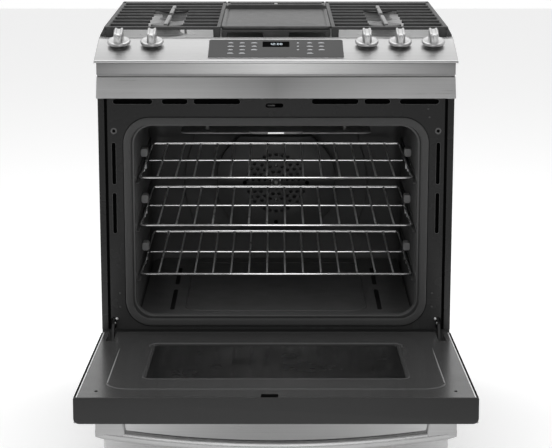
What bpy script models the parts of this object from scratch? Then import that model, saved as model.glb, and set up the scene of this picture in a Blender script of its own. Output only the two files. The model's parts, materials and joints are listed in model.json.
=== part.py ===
"""Freestanding gas range with its oven door open.

Metres, +Z up, floor at Z = 0. X runs left to right across the front, +Y runs
to the back. A depth is measured back from the face of the oven's front frame.
"""
import math

import bmesh
import bpy
import numpy as np
from mathutils import Matrix, Vector

# Overall size
BODY_HALF = 0.3795
TOP_HALF = 0.385
BODY_DEPTH = 0.660
DOOR_REACH = 0.57646
FRONT_Y = (DOOR_REACH - BODY_DEPTH) / 2
SHEET = 0.0012
THIN = 0.001
GAP = 0.0003

# Door, in its closed pose: pivot, heights and depths
PIVOT_DEPTH = -0.0365
PIVOT_Z = 0.278
DOOR_OPEN = math.radians(86)
DOOR_HALF = 0.3785
DOOR_BOTTOM = 0.262
DOOR_TOP = 0.818
DOOR_BACK = -0.004
DOOR_FACE = -0.054
LINER_HALF = 0.372
WINDOW_HALF = 0.254
WINDOW_Z = (0.3855, 0.6685)
HANDLE_HALF = 0.343
HANDLE_Z = 0.758
HANDLE_END = 0.043
HANDLE_BOW = 0.071
HANDLE_SECTION = (
    (-0.0125, -0.0220), (0.0125, -0.0220), (0.0125, -0.0040), (0.0060, 0), (-0.0060, 0), (-0.0125, -0.0040),
)

# Oven front frame and cavity
FRAME_Z = (0.309, 0.822)
MOUTH_HALF = 0.3045
MOUTH_Z = (0.340, 0.761)
MOUTH_RADIUS = 0.040
SEAL_HALF = 0.3275
SEAL_Z = (0.3144, 0.776)
SEAL_RADIUS = 0.055
CAVITY_Z = (0.303, 0.766)
CAVITY_BACK = 0.520
FAN_Z = 0.532

# Racks
RACK_Z = (0.4147, 0.5255, 0.6325)
RACK_DEPTH = (0.070, 0.290, 0.470)
RACK_HALF = 0.3010
RACK_WIRE = 0.0045
RACK_STOP = 0.0025
RACK_CROSS_HALF = 0.2930
LONG_WIRES = 14
LONG_WIRE_PITCH = 0.040

# Drawer
DRAWER_Z = (0.042, 0.250)
DRAWER_FACE = -0.024

# Control panel slope
SLOPE = math.atan2(0.033, 0.122)
SLOPE_START = (-0.012, 0.902)
SLOPE_LENGTH = math.hypot(0.122, 0.033)
KNOB_X = (-0.3377, -0.2666, 0.1952, 0.2668, 0.3380)
KNOB_ALONG = 0.66 * SLOPE_LENGTH
GLASS_HALF = 0.144

# Cooktop
PAN_Z = 0.925
RIM_Z = 0.935
GRATE_TOP = 0.957
GRATE_BAR = 0.950
GRATE_DEPTH = (0.129, 0.640)
GRATE_INNER = 0.1207
GRATE_OUTER = 0.3760
CENTRE_HALF = 0.1196
GRIDDLE_Z = (0.9505, 0.9580, 0.968)
BAR_DEPTHS = (0.195, 0.253, 0.315, 0.374, 0.433)
BURNER_X = 0.2445
BURNER_DEPTHS = (0.250, 0.545)
CAP_Z = 0.9425

STEEL = ((0.62, 0.62, 0.61), 0.32, 1.0)
ENAMEL = ((0.045, 0.046, 0.048), 0.22, 0.0)
DARK = ((0.075, 0.077, 0.080), 0.45, 0.0)
IRON = ((0.070, 0.072, 0.075), 0.60, 0.0)
CHROME = ((0.80, 0.80, 0.80), 0.12, 1.0)
GALVANISED = ((0.42, 0.43, 0.44), 0.45, 1.0)
GLASS = ((0.015, 0.016, 0.018), 0.05, 0.0)
RUBBER = ((0.06, 0.06, 0.06), 0.80, 0.0)


def clear_scene():
    for item in list(bpy.data.objects):
        bpy.data.objects.remove(item, do_unlink=True)


def material(name, look):
    colour, roughness, metallic = look
    made = bpy.data.materials.new(name + "_material")
    made.use_nodes = True
    shader = made.node_tree.nodes["Principled BSDF"]
    shader.inputs["Base Color"].default_value = (*colour, 1.0)
    shader.inputs["Roughness"].default_value = roughness
    shader.inputs["Metallic"].default_value = metallic
    return made


def place(name, bm, look, origin=(0.0, 0.0, 0.0), smooth=False):
    """Make a node of a mesh in world coordinates, with its origin at a point."""
    bmesh.ops.recalc_face_normals(bm, faces=bm.faces)
    bmesh.ops.translate(bm, verts=bm.verts, vec=-Vector(origin))
    mesh = bpy.data.meshes.new(name)
    bm.to_mesh(mesh)
    bm.free()
    node = bpy.data.objects.new(name, mesh)
    node.location = origin
    bpy.context.collection.objects.link(node)
    mesh.materials.append(material(name, look))
    if smooth:
        mesh.shade_smooth()
        mesh.set_sharp_from_angle(angle=math.radians(35))
    return node


def boolean(node, other, operation):
    other.hide_render = True
    other.display_type = "WIRE"
    step = node.modifiers.new(operation.lower(), "BOOLEAN")
    step.operation = operation
    step.solver = "EXACT"
    step.object = other


def box(x0, x1, d0, d1, z0, z1):
    """A box as its six limits, with depths turned into world Y."""
    return (x0, x1, FRONT_Y + d0, FRONT_Y + d1, z0, z1)


def mirrored(boxes):
    """The boxes and their reflections in the plane X = 0."""
    return [*boxes, *[(-b[1], -b[0], *b[2:]) for b in boxes]]


def blocks(adds, cuts=()):
    """A closed mesh of boxes joined together, less other boxes."""
    every = np.array([*adds, *cuts])
    lines = [np.unique(np.round(every[:, 2 * k:2 * k + 2], 7)) for k in range(3)]
    filled = np.zeros([len(line) + 1 for line in lines], bool)
    for limits, value in [*[(b, True) for b in adds], *[(b, False) for b in cuts]]:
        ends = [np.searchsorted(lines[k // 2], round(limits[k], 7)) for k in range(6)]
        spans = [slice(ends[2 * k] + 1, ends[2 * k + 1] + 1) for k in range(3)]
        filled[tuple(spans)] = value
    bm = bmesh.new()
    points = {}

    def corner(key):
        if key not in points:
            points[key] = bm.verts.new([lines[k][key[k]] for k in range(3)])
        return points[key]

    for axis in range(3):
        other = [k for k in range(3) if k != axis]
        step = np.diff(filled.astype(int), axis=axis)
        for cell in np.argwhere(step):
            ring = []
            for a, b in ((0, 0), (1, 0), (1, 1), (0, 1)):
                key = [0, 0, 0]
                key[axis] = cell[axis]
                key[other[0]] = cell[other[0]] - 1 + a
                key[other[1]] = cell[other[1]] - 1 + b
                ring.append(corner(tuple(key)))
            bm.faces.new(ring)
    bmesh.ops.recalc_face_normals(bm, faces=bm.faces)
    bmesh.ops.dissolve_limit(
        bm, angle_limit=0.001, verts=bm.verts, edges=bm.edges, delimit={"NORMAL"}
    )
    return bm


def extrude(outline, at, start, end):
    """A closed prism: the outline's points go through at(u, v, w)."""
    bm = bmesh.new()
    near = [bm.verts.new(at(u, v, start)) for u, v in outline]
    far = [bm.verts.new(at(u, v, end)) for u, v in outline]
    bm.faces.new(near)
    bm.faces.new(far)
    for i, n in enumerate(near):
        j = (i + 1) % len(near)
        bm.faces.new((n, near[j], far[j], far[i]))
    return bm


def across(u, v, w):
    """Profile of depth and height, run along X."""
    return (w, FRONT_Y + u, v)


def facing(u, v, w):
    """Outline of X and height, run back in depth."""
    return (u, FRONT_Y + w, v)


def level(u, v, w):
    """Outline of X and depth, run up in height."""
    return (u, FRONT_Y + v, w)


def rounded(x0, x1, z0, z1, radius, steps=5):
    """The outline of a rectangle with round corners."""
    centres = (
        (x1 - radius, z1 - radius, 0),
        (x0 + radius, z1 - radius, 90),
        (x0 + radius, z0 + radius, 180),
        (x1 - radius, z0 + radius, 270),
    )
    outline = []
    for cx, cz, turn in centres:
        for n in range(steps + 1):
            angle = math.radians(turn + 90 * n / steps)
            outline.append((cx + radius * math.cos(angle), cz + radius * math.sin(angle)))
    return outline


def ring_plate(outer, inner, d0, d1):
    """A closed flat ring between two outlines of equally many points."""
    bm = bmesh.new()
    loops = []
    for outline in (outer, inner):
        for d in (d0, d1):
            loops.append([bm.verts.new(facing(u, v, d)) for u, v in outline])
    near_out, far_out, near_in, far_in = loops
    count = len(outer)
    for a, b in ((near_out, far_out), (far_out, far_in), (far_in, near_in), (near_in, near_out)):
        for i in range(count):
            j = (i + 1) % count
            bm.faces.new((a[i], a[j], b[j], b[i]))
    return bm


def lathe(profile, base, axis=(0, 0, 1), segments=24):
    """A closed solid of revolution from (radius, height) pairs along an axis."""
    bm = bmesh.new()
    turn = Vector((0, 0, 1)).rotation_difference(Vector(axis)).to_matrix()
    loops = []
    for radius, height in profile:
        loop = []
        for n in range(segments):
            angle = 2 * math.pi * n / segments
            at = Vector((radius * math.cos(angle), radius * math.sin(angle), height))
            loop.append(bm.verts.new(turn @ at + Vector(base)))
        loops.append(loop)
    for low, high in zip(loops, loops[1:]):
        for n in range(segments):
            m = (n + 1) % segments
            bm.faces.new((low[n], low[m], high[m], high[n]))
    bm.faces.new(loops[0])
    bm.faces.new(loops[-1])
    return bm


def on_slope(along, above):
    """Depth and height of a point of the control panel's slope."""
    depth = SLOPE_START[0] + along * math.cos(SLOPE) - above * math.sin(SLOPE)
    height = SLOPE_START[1] + along * math.sin(SLOPE) + above * math.cos(SLOPE)
    return depth, height


def world(x, depth, z):
    return (x, FRONT_Y + depth, z)


def body_shell():
    for side, sign in (("left", -1), ("right", 1)):
        xs = sorted((sign * BODY_HALF, sign * (BODY_HALF - SHEET)))
        panel = blocks([box(*xs, 0.0045, 0.640, 0.034, 0.8955)])
        place("side_panel_" + side, panel, DARK)
    inner = BODY_HALF - SHEET - GAP
    rear = box(-inner, inner, 0.640 - THIN, 0.640, 0.034, 0.8955)
    place("rear_panel", blocks([rear]), GALVANISED)
    base = blocks(
        [
            box(-inner, inner, 0.005, 0.6375, 0.034, 0.034 + SHEET),
            box(-inner, inner, 0.001, 0.003, 0.256, 0.3085),
            *mirrored([
                box(0.367, inner, 0.001, 0.020, 0.034, 0.3085),
                box(0.359, inner, 0.005, 0.600, 0.047, 0.050),
            ]),
        ],
        [
            box(-0.30, 0.30, 0.080, 0.560, 0.030, 0.040),
            *mirrored([box(0.324, 0.336, d - 0.006, d + 0.006, 0.030, 0.040) for d in (0.055, 0.590)]),
        ],
    )
    place("base_frame", base, GALVANISED)
    for side, x in (("left", -0.330), ("right", 0.330)):
        for end, depth in (("front", 0.055), ("rear", 0.590)):
            foot = world(x, depth, 0.0)
            profile = [(0.017, 0), (0.019, 0.004), (0.016, 0.010), (0.005, 0.014), (0.005, 0.052)]
            leg = lathe(profile, foot, segments=16)
            place(f"leveling_leg_{end}_{side}", leg, RUBBER, foot, smooth=True)


def oven_front():
    opening = rounded(-MOUTH_HALF, MOUTH_HALF, *MOUTH_Z, MOUTH_RADIUS)
    slots = mirrored(
        [
            box(0.076, 0.1755, -0.01, 0.01, 0.807, 0.8186),
            box(0.188, 0.243, -0.01, 0.01, 0.807, 0.8186),
            box(0.263, 0.347, -0.01, 0.01, 0.807, 0.8186),
            box(0.3427, 0.3513, -0.01, 0.01, 0.6325, 0.724),
            box(0.3427, 0.3513, -0.01, 0.01, 0.524, 0.614),
            box(0.3480, 0.3592, -0.01, 0.01, 0.3105, 0.336),
        ]
    )
    slots.append(box(-0.022, 0.0155, -0.01, 0.01, 0.7995, 0.8085))
    grooves = mirrored([box(0.361, 0.365, -0.01, 0.0015, 0.300, 0.830)])
    plate = blocks([box(-BODY_HALF, BODY_HALF, 0.0, 0.004, *FRAME_Z)], [*slots, *grooves])
    frame = place("oven_front_frame", plate, ENAMEL)
    boolean(frame, place("frame_mouth_cutter", extrude(opening, facing, -0.01, 0.01), DARK), "DIFFERENCE")
    outer = rounded(-SEAL_HALF, SEAL_HALF, *SEAL_Z, SEAL_RADIUS, 6)
    inner = rounded(-0.309, 0.309, 0.3365, 0.7645, 0.042, 6)
    place("door_gasket", ring_plate(outer, inner, -0.0035, -GAP), RUBBER, smooth=True)
    latch = blocks([box(-0.018, -0.002, 0.0005, 0.030, 0.8025, 0.8055)])
    place("door_latch", latch, CHROME, world(-0.010, 0.0005, 0.804))


def oven_cavity():
    half = MOUTH_HALF + 0.0005
    low, high = CAVITY_Z
    guides = []
    for z in RACK_Z:
        guides.append(box(0.2975, half, 0.045, 0.500, z - 0.0085, z - 0.0050))
        guides.append(box(0.3015, half, 0.120, 0.500, z + 0.0060, z + 0.0090))
    shell = [
        box(-half - THIN, half + THIN, 0.0045, CAVITY_BACK + THIN, high, high + THIN),
        box(-half - THIN, half + THIN, 0.0045, CAVITY_BACK + THIN, low - THIN, low),
        box(-half - THIN, half + THIN, CAVITY_BACK, CAVITY_BACK + THIN, low, high),
        *mirrored([
            box(half, half + THIN, 0.0045, CAVITY_BACK + THIN, low, high),
            *guides,
        ]),
    ]
    place("oven_liner", blocks(shell), ENAMEL)
    floor = blocks(
        [
            box(-0.299, 0.299, 0.012, 0.510, 0.3365 - SHEET, 0.3365),
            *mirrored([box(0.299 - SHEET, 0.299, 0.012, 0.510, 0.3035, 0.3365)]),
        ],
        mirrored([
            box(0.262, 0.270, 0.060, 0.110, 0.330, 0.340),
            box(0.276, 0.284, 0.060, 0.110, 0.330, 0.340),
            box(0.262, 0.270, 0.400, 0.450, 0.330, 0.340),
            box(0.276, 0.284, 0.400, 0.450, 0.330, 0.340),
        ]),
    )
    place("oven_floor", floor, ENAMEL)
    bake = blocks([
        box(-0.030, 0.030, 0.070, 0.440, 0.310, 0.322),
        box(-0.012, 0.012, 0.440, CAVITY_BACK - GAP, 0.311, 0.321),
        box(-0.110, 0.110, 0.070, 0.110, 0.310, 0.322),
    ])
    place("bake_burner", bake, GALVANISED)
    broil = blocks([
        box(-0.215, 0.215, 0.210, 0.300, 0.703, 0.708),
        box(-0.060, 0.060, 0.190, 0.330, 0.707, 0.712),
        box(-0.012, 0.012, 0.300, CAVITY_BACK - GAP, 0.709, 0.721),
        *mirrored([box(0.150, 0.162, 0.240, 0.252, 0.707, CAVITY_Z[1] - GAP)]),
    ])
    place("broil_burner", broil, ENAMEL)
    lamp = lathe([(0.024, 0), (0.024, 0.006), (0.019, 0.016), (0.010, 0.021)],
                 world(0.185, CAVITY_BACK - GAP, 0.690), (0, -1, 0), 20)
    place("oven_light", lamp, GLASS, smooth=True)


def fan():
    half_high = 0.1145
    outline = [
        (-0.087, FAN_Z + half_high), (-0.118, FAN_Z + 0.088), (-0.143, FAN_Z + 0.045),
        (-0.143, FAN_Z - 0.045), (-0.118, FAN_Z - 0.088), (-0.087, FAN_Z - half_high),
    ]
    outline += [(-x, z) for x, z in reversed(outline)]
    shrink = 0.985
    inside = [(x * shrink, FAN_Z + (z - FAN_Z) * shrink) for x, z in outline]
    front = CAVITY_BACK - 0.030
    cover = place("fan_cover", extrude(outline, facing, front, CAVITY_BACK - GAP), ENAMEL)
    hollow = extrude(inside, facing, front + 0.0015, CAVITY_BACK + 0.01)
    boolean(cover, place("fan_hollow_cutter", hollow, DARK), "DIFFERENCE")
    slots = [
        box(x - 0.004, x + 0.004, front - 0.01, front + 0.01, FAN_Z + z - 0.012, FAN_Z + z + 0.012)
        for z in (-0.036, 0.0, 0.036)
        for x in (-0.045, -0.027, -0.009, 0.009, 0.027, 0.045)
    ]
    boolean(cover, place("fan_slot_cutter", blocks(slots), DARK), "DIFFERENCE")
    centre = world(0, 0.505, FAN_Z)
    blades = blocks(
        [
            (-0.060, 0.060, centre[1] - 0.007, centre[1] + 0.007, FAN_Z - 0.0006, FAN_Z + 0.0006),
            (-0.0006, 0.0006, centre[1] - 0.007, centre[1] + 0.007, FAN_Z - 0.060, FAN_Z + 0.060),
            (-0.012, 0.012, centre[1] - 0.008, centre[1] + 0.013, FAN_Z - 0.012, FAN_Z + 0.012),
        ]
    )
    place("fan_wheel", blades, GALVANISED, centre)


def racks():
    half = RACK_WIRE / 2
    front, middle, rear = RACK_DEPTH
    for name, z in zip(("lower", "middle", "upper"), RACK_Z):
        low, high = z - half, z + half
        wires = [
            box(-RACK_HALF, RACK_HALF, front - half, front + half, low, high),
            box(-RACK_CROSS_HALF, RACK_CROSS_HALF, middle - half, middle + half, low - RACK_WIRE, low),
            box(-RACK_HALF, RACK_HALF, rear - half, rear + half, low, high + RACK_STOP),
            *mirrored([box(RACK_HALF - RACK_WIRE, RACK_HALF, front - half, rear + half, low, high)]),
        ]
        for n in range(LONG_WIRES):
            x = LONG_WIRE_PITCH * (n - (LONG_WIRES - 1) / 2)
            wires.append(box(x - 0.002, x + 0.002, front, rear, low, high))
        place("rack_" + name, blocks(wires), CHROME, world(0, front, z))


def swing(bm):
    """Turn a door piece from its closed pose to its open pose."""
    pivot = Vector(world(0, PIVOT_DEPTH, PIVOT_Z))
    bmesh.ops.rotate(bm, verts=bm.verts, cent=pivot, matrix=Matrix.Rotation(DOOR_OPEN, 3, "X"))
    return bm


def door_piece(name, bm, look, smooth=False):
    return place(name, swing(bm), look, world(0, PIVOT_DEPTH, PIVOT_Z), smooth)


def door():
    back, face = DOOR_BACK, DOOR_FACE
    low, high = DOOR_BOTTOM, DOOR_TOP - 0.0055
    arm_way = mirrored([box(0.3455, 0.3620, -0.050, 0.01, 0.200, 0.350)])
    wall = SHEET
    panel = blocks(
        [
            box(-DOOR_HALF, DOOR_HALF, face, face + wall, low, high),
            box(-DOOR_HALF, DOOR_HALF, face, back - 0.002, low, low + wall),
            *mirrored([box(DOOR_HALF - wall, DOOR_HALF, face, back - 0.002, low, high)]),
        ],
        [box(-0.275, 0.275, face - 0.01, face + 0.01, 0.350, 0.690), *arm_way],
    )
    door_piece("door_outer_panel", panel, STEEL)
    glass = blocks([box(-0.285, 0.285, face + wall + GAP, face + 0.006, 0.340, 0.700)])
    door_piece("door_outer_glass", glass, GLASS)
    liner = blocks(
        [
            box(-LINER_HALF, LINER_HALF, back - 0.0015, back, low + 0.002, high),
            *mirrored([box(LINER_HALF - 0.0015, LINER_HALF, back - 0.025, back, low + 0.002, high)]),
            box(-LINER_HALF, LINER_HALF, back - 0.025, back, high - 0.0015, high),
        ],
        [
            box(-WINDOW_HALF, WINDOW_HALF, back - 0.01, back + 0.01, *WINDOW_Z),
            box(-0.028, 0.004, back - 0.01, back + 0.01, 0.8000, 0.8080),
            *arm_way,
        ],
    )
    door_piece("door_liner", liner, ENAMEL)
    low_z, high_z = WINDOW_Z
    inner = box(-0.264, 0.264, back - 0.0060, back - 0.0018, low_z - 0.010, high_z + 0.010)
    door_piece("door_inner_glass", blocks([inner]), GLASS)
    ends = rounded(-DOOR_HALF, DOOR_HALF, -DOOR_BACK, -DOOR_FACE, 0.003, 2)
    trim = extrude(ends, lambda u, v, w: level(u, -v, w), high + GAP, DOOR_TOP)
    door_piece("door_edge_trim", trim, DARK, smooth=True)
    handle()


def handle():
    """A bowed bar on two posts, one closed sweep along X."""
    stations = 16
    bm = bmesh.new()
    loops = []
    for n in range(stations + 1):
        x = HANDLE_HALF * (2 * n / stations - 1)
        share = abs(x) / HANDLE_HALF
        out = HANDLE_END + (HANDLE_BOW - HANDLE_END) * (1 - share ** 2)
        ring = []
        for u, v in HANDLE_SECTION:
            ring.append(bm.verts.new(world(x, DOOR_FACE - out - v, HANDLE_Z + u)))
        loops.append(ring)
    for a, b in zip(loops, loops[1:]):
        for i in range(6):
            j = (i + 1) % 6
            bm.faces.new((a[i], a[j], b[j], b[i]))
    bm.faces.new(loops[0])
    bm.faces.new(loops[-1])
    bar = door_piece("door_handle", bm, STEEL, smooth=True)
    for side, sign in (("left", -1), ("right", 1)):
        xs = sorted((sign * 0.342, sign * 0.290))
        post = blocks([box(*xs, DOOR_FACE - 0.036, DOOR_FACE - GAP, HANDLE_Z - 0.012, HANDLE_Z + 0.012)])
        boolean(bar, door_piece(f"handle_post_{side}_cutter", post, STEEL), "UNION")


def hinge_arms():
    outline = [
        (0.060, 0.3345), (0.0, 0.3345), (-0.018, 0.3260), (-0.0445, 0.2840), (-0.0440, 0.2740),
        (-0.0365, 0.2700), (-0.0290, 0.2740), (-0.0100, 0.3020), (0.0, 0.3120), (0.060, 0.3120),
    ]
    for side, sign in (("left", -1), ("right", 1)):
        arm = extrude(outline, across, sign * 0.3511, sign * 0.3561)
        place("hinge_arm_" + side, arm, CHROME)


def drawer():
    low, high = DRAWER_Z
    wall = SHEET
    front = blocks(
        [
            box(-0.379, 0.379, DRAWER_FACE, DRAWER_FACE + wall, low, high),
            box(-0.379, 0.379, DRAWER_FACE, -GAP, high - wall, high),
            box(-0.379, 0.379, DRAWER_FACE, -GAP, low, low + wall),
            *mirrored([box(0.379 - wall, 0.379, DRAWER_FACE, -GAP, low, high)]),
        ]
    )
    place("drawer_front", front, STEEL, world(0, DRAWER_FACE, low))
    side = 0.3555
    tray = blocks(
        [box(-side, side, -0.008, 0.560, 0.056, 0.230)],
        [box(-side + THIN, side - THIN, -0.008 + THIN, 0.560 - THIN, 0.056 + THIN, 0.240)],
    )
    place("drawer_box", tray, GALVANISED, world(0, DRAWER_FACE, low))


def front_trims():
    upper = [
        (-0.0080, 0.8962), (-0.0080, 0.8712), (0.0040, 0.8712),
        (0.0040, 0.8730), (-0.0060, 0.8730), (-0.0060, 0.8962),
    ]
    place("upper_front_trim", extrude(upper, across, -0.380, 0.380), STEEL)
    lower = [
        (-0.0060, 0.8668), (-0.0280, 0.8232), (0.0035, 0.8232),
        (0.0035, 0.8250), (-0.0248, 0.8250), (-0.0042, 0.8668),
    ]
    place("lower_front_trim", extrude(lower, across, -0.380, 0.380), STEEL)


def control_panel():
    front, top = SLOPE_START
    back = front + 0.122
    outer = [(front, 0.8966), (front, top), (back, top + 0.033), (back, 0.8966)]
    panel = place("control_panel", extrude(outer, across, -TOP_HALF, TOP_HALF), STEEL)
    inner = [
        (front + SHEET, 0.890), (front + SHEET, top - 0.0015),
        (back - SHEET, top + 0.0300), (back - SHEET, 0.890),
    ]
    hollow = extrude(inner, across, SHEET - TOP_HALF, TOP_HALF - SHEET)
    boolean(panel, place("panel_hollow_cutter", hollow, DARK), "DIFFERENCE")
    normal = (0, -math.sin(SLOPE), math.cos(SLOPE))
    drill = bmesh.new()
    for x in KNOB_X:
        hole = lathe([(0.006, -0.010), (0.006, 0.010)], world(x, *on_slope(KNOB_ALONG, 0)), normal, 12)
        spare = bpy.data.meshes.new("hole")
        hole.to_mesh(spare)
        hole.free()
        drill.from_mesh(spare)
        bpy.data.meshes.remove(spare)
    boolean(panel, place("panel_hole_cutter", drill, DARK), "DIFFERENCE")
    corners = [
        on_slope(0.12 * SLOPE_LENGTH, GAP), on_slope(0.88 * SLOPE_LENGTH, GAP),
        on_slope(0.88 * SLOPE_LENGTH, 0.002), on_slope(0.12 * SLOPE_LENGTH, 0.002),
    ]
    place("control_glass", extrude(corners, across, -GLASS_HALF, GLASS_HALF), GLASS)


def knobs():
    normal = Vector((0, -math.sin(SLOPE), math.cos(SLOPE)))
    forward = Vector((0, math.cos(SLOPE), math.sin(SLOPE)))
    for number, x in enumerate(KNOB_X, 1):
        foot = Vector(world(x, *on_slope(KNOB_ALONG, 0)))
        stem = lathe([(0.0042, -0.020), (0.0042, 0.013)], foot, normal, 12)
        place(f"valve_stem_{number}", stem, GALVANISED, foot, smooth=True)
        base = [(0.0190, 0.0042), (0.0250, 0.0070), (0.0250, 0.0120), (0.0205, 0.0148)]
        knob = place(f"knob_{number}", lathe(base, foot, normal, 24), STEEL, foot, smooth=True)
        fin = bmesh.new()
        ring = []
        for along, across_x in ((-0.0225, 0.004), (-0.018, 0.008), (0.018, 0.008), (0.0225, 0.004)):
            ring.append((along, across_x))
        ring += [(along, -across_x) for along, across_x in reversed(ring)]
        low = [fin.verts.new(foot + forward * a + Vector((b, 0, 0)) + normal * 0.010) for a, b in ring]
        high = [fin.verts.new(foot + forward * a * 0.9 + Vector((b * 0.85, 0, 0)) + normal * 0.035)
                for a, b in ring]
        fin.faces.new(low)
        fin.faces.new(high)
        for i, v in enumerate(low):
            j = (i + 1) % len(low)
            fin.faces.new((v, low[j], high[j], high[i]))
        boolean(knob, place(f"knob_fin_{number}_cutter", fin, STEEL, foot), "UNION")
        bore = lathe([(0.0047, 0.0), (0.0047, 0.0135)], foot, normal, 12)
        boolean(knob, place(f"knob_bore_{number}_cutter", bore, DARK, foot), "DIFFERENCE")


def cooktop():
    front = SLOPE_START[0] + 0.122 + GAP
    pan = blocks(
        [box(-TOP_HALF, TOP_HALF, front, BODY_DEPTH, 0.8966, RIM_Z)],
        [
            box(-0.372, 0.372, front + 0.008, BODY_DEPTH - 0.014, PAN_Z, 0.95),
            box(-0.383, 0.383, front + SHEET, BODY_DEPTH - SHEET, 0.890, PAN_Z - SHEET),
        ],
    )
    place("cooktop_pan", pan, STEEL)
    for side, sign in (("left", -1), ("right", 1)):
        for end, depth in zip(("front", "rear"), BURNER_DEPTHS):
            foot = world(sign * BURNER_X, depth, PAN_Z + GAP)
            ring_top = CAP_Z - GAP - foot[2]
            head = lathe([(0.036, 0), (0.036, 0.003), (0.029, 0.005), (0.029, ring_top)], foot)
            place(f"burner_head_{end}_{side}", head, GALVANISED, foot, smooth=True)
            seat = world(sign * BURNER_X, depth, CAP_Z)
            cap = lathe([(0.036, 0), (0.0375, 0.0015), (0.0375, 0.0042), (0.034, 0.0060)], seat)
            place(f"burner_cap_{end}_{side}", cap, IRON, seat, smooth=True)
    low_cap = 0.9348
    head = extrude(rounded(-0.028, 0.028, 0.235, 0.375, 0.0278, 6), level, PAN_Z + GAP, low_cap - GAP)
    place("burner_head_center", head, GALVANISED, world(0, 0.305, PAN_Z + GAP))
    cap = extrude(rounded(-0.034, 0.034, 0.229, 0.381, 0.0338, 6), level, low_cap, 0.941)
    place("burner_cap_center", cap, IRON, world(0, 0.305, low_cap))


def side_grate(name, sign):
    """One cast grate: fingers from both side rails over two burners."""
    foot = PAN_Z + GAP
    front, rear = GRATE_DEPTH
    half = 0.0045

    def bar(x0, x1, d0, d1, z0=GRATE_BAR, z1=GRATE_TOP):
        xs = sorted((sign * x0, sign * x1))
        return box(*xs, d0, d1, z0, z1)

    bars = [
        bar(GRATE_INNER, GRATE_INNER + 2 * half, front, rear),
        bar(GRATE_OUTER - 0.0105, GRATE_OUTER, front, rear),
        bar(GRATE_OUTER - 0.0015, TOP_HALF - 0.0005, front, rear, RIM_Z + GAP, GRATE_BAR + 0.002),
        bar(GRATE_INNER, GRATE_OUTER, front, front + 0.008),
        bar(GRATE_INNER, GRATE_OUTER, 0.606, rear),
        bar(BURNER_X - half, BURNER_X + half, 0.186, 0.350),
        bar(BURNER_X - half, BURNER_X + half, 0.400, 0.555),
        bar(BURNER_X - half, BURNER_X + half, front, 0.187, GRATE_BAR, GRATE_BAR + 0.0035),
        *[bar(GRATE_INNER, GRATE_OUTER, depth - half, depth + half) for depth in (0.4925, 0.5505)],
    ]
    for depth in BAR_DEPTHS:
        bars.append(bar(GRATE_INNER, 0.206, depth - half, depth + half))
        bars.append(bar(0.283, GRATE_OUTER, depth - half, depth + half))
    for depth in (0.133, 0.374, 0.623):
        bars.append(bar(GRATE_INNER, 0.1377, depth - 0.004, depth + 0.004, foot, GRATE_BAR))
        bars.append(bar(0.3560, 0.3710, depth - 0.004, depth + 0.004, foot, GRATE_BAR))
    place(name, blocks(bars), IRON, world(sign * BURNER_X, 0.385, PAN_Z))


def centre_grate():
    """The middle grate, and the griddle that lies on its lower front part."""
    foot = PAN_Z + GAP
    half = CENTRE_HALF
    front, rear = GRATE_DEPTH
    griddle_low, griddle_top, griddle_wall = GRIDDLE_Z
    low, high = 0.9440, griddle_low - GAP
    bars = [
        *[box(-half, half, depth, depth + 0.008, low, high) for depth in (front, 0.205, 0.400)],
        box(-half, half, 0.488, 0.497, low, GRATE_TOP),
        box(-half, half, 0.546, 0.555, GRATE_BAR, GRATE_TOP),
        box(-half, half, 0.606, rear, GRATE_BAR, GRATE_TOP),
        box(-0.0045, 0.0045, 0.488, 0.620, GRATE_BAR, GRATE_TOP),
        box(-0.031, 0.031, front, front + 0.008, foot, low + 0.001),
        *mirrored([
            box(half - 0.009, half, front, 0.497, low, high),
            box(half - 0.009, half, 0.488, rear, low, GRATE_TOP),
            box(half - 0.013, half, front, front + 0.008, foot, low + 0.001),
            box(half - 0.013, half, 0.610, 0.620, foot, GRATE_BAR + 0.001),
        ]),
    ]
    place("grate_center", blocks(bars), IRON, world(0, 0.385, PAN_Z))
    rim = 0.0080
    plate = blocks(
        [
            box(-half, half, front, 0.480, griddle_low, griddle_top),
            box(-half, half, 0.471, 0.480, griddle_low, griddle_wall),
        ],
        [box(-half + rim, half - rim, front + 0.004, 0.471, griddle_top - 0.0010, griddle_wall + 0.002)],
    )
    place("griddle", plate, IRON, world(0, 0.305, griddle_low))


def build():
    clear_scene()
    body_shell()
    oven_front()
    oven_cavity()
    fan()
    racks()
    door()
    hinge_arms()
    drawer()
    front_trims()
    control_panel()
    knobs()
    cooktop()
    side_grate("grate_left", -1)
    side_grate("grate_right", 1)
    centre_grate()


build()
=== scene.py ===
"""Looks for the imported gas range: fine pieces and materials around the CAD frame.

Metres, +Z up, +Y to the back. A depth is measured back from the face of the
oven's front frame.
"""
import json
import math

import bmesh
import bpy
from mathutils import Matrix, Vector


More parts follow.
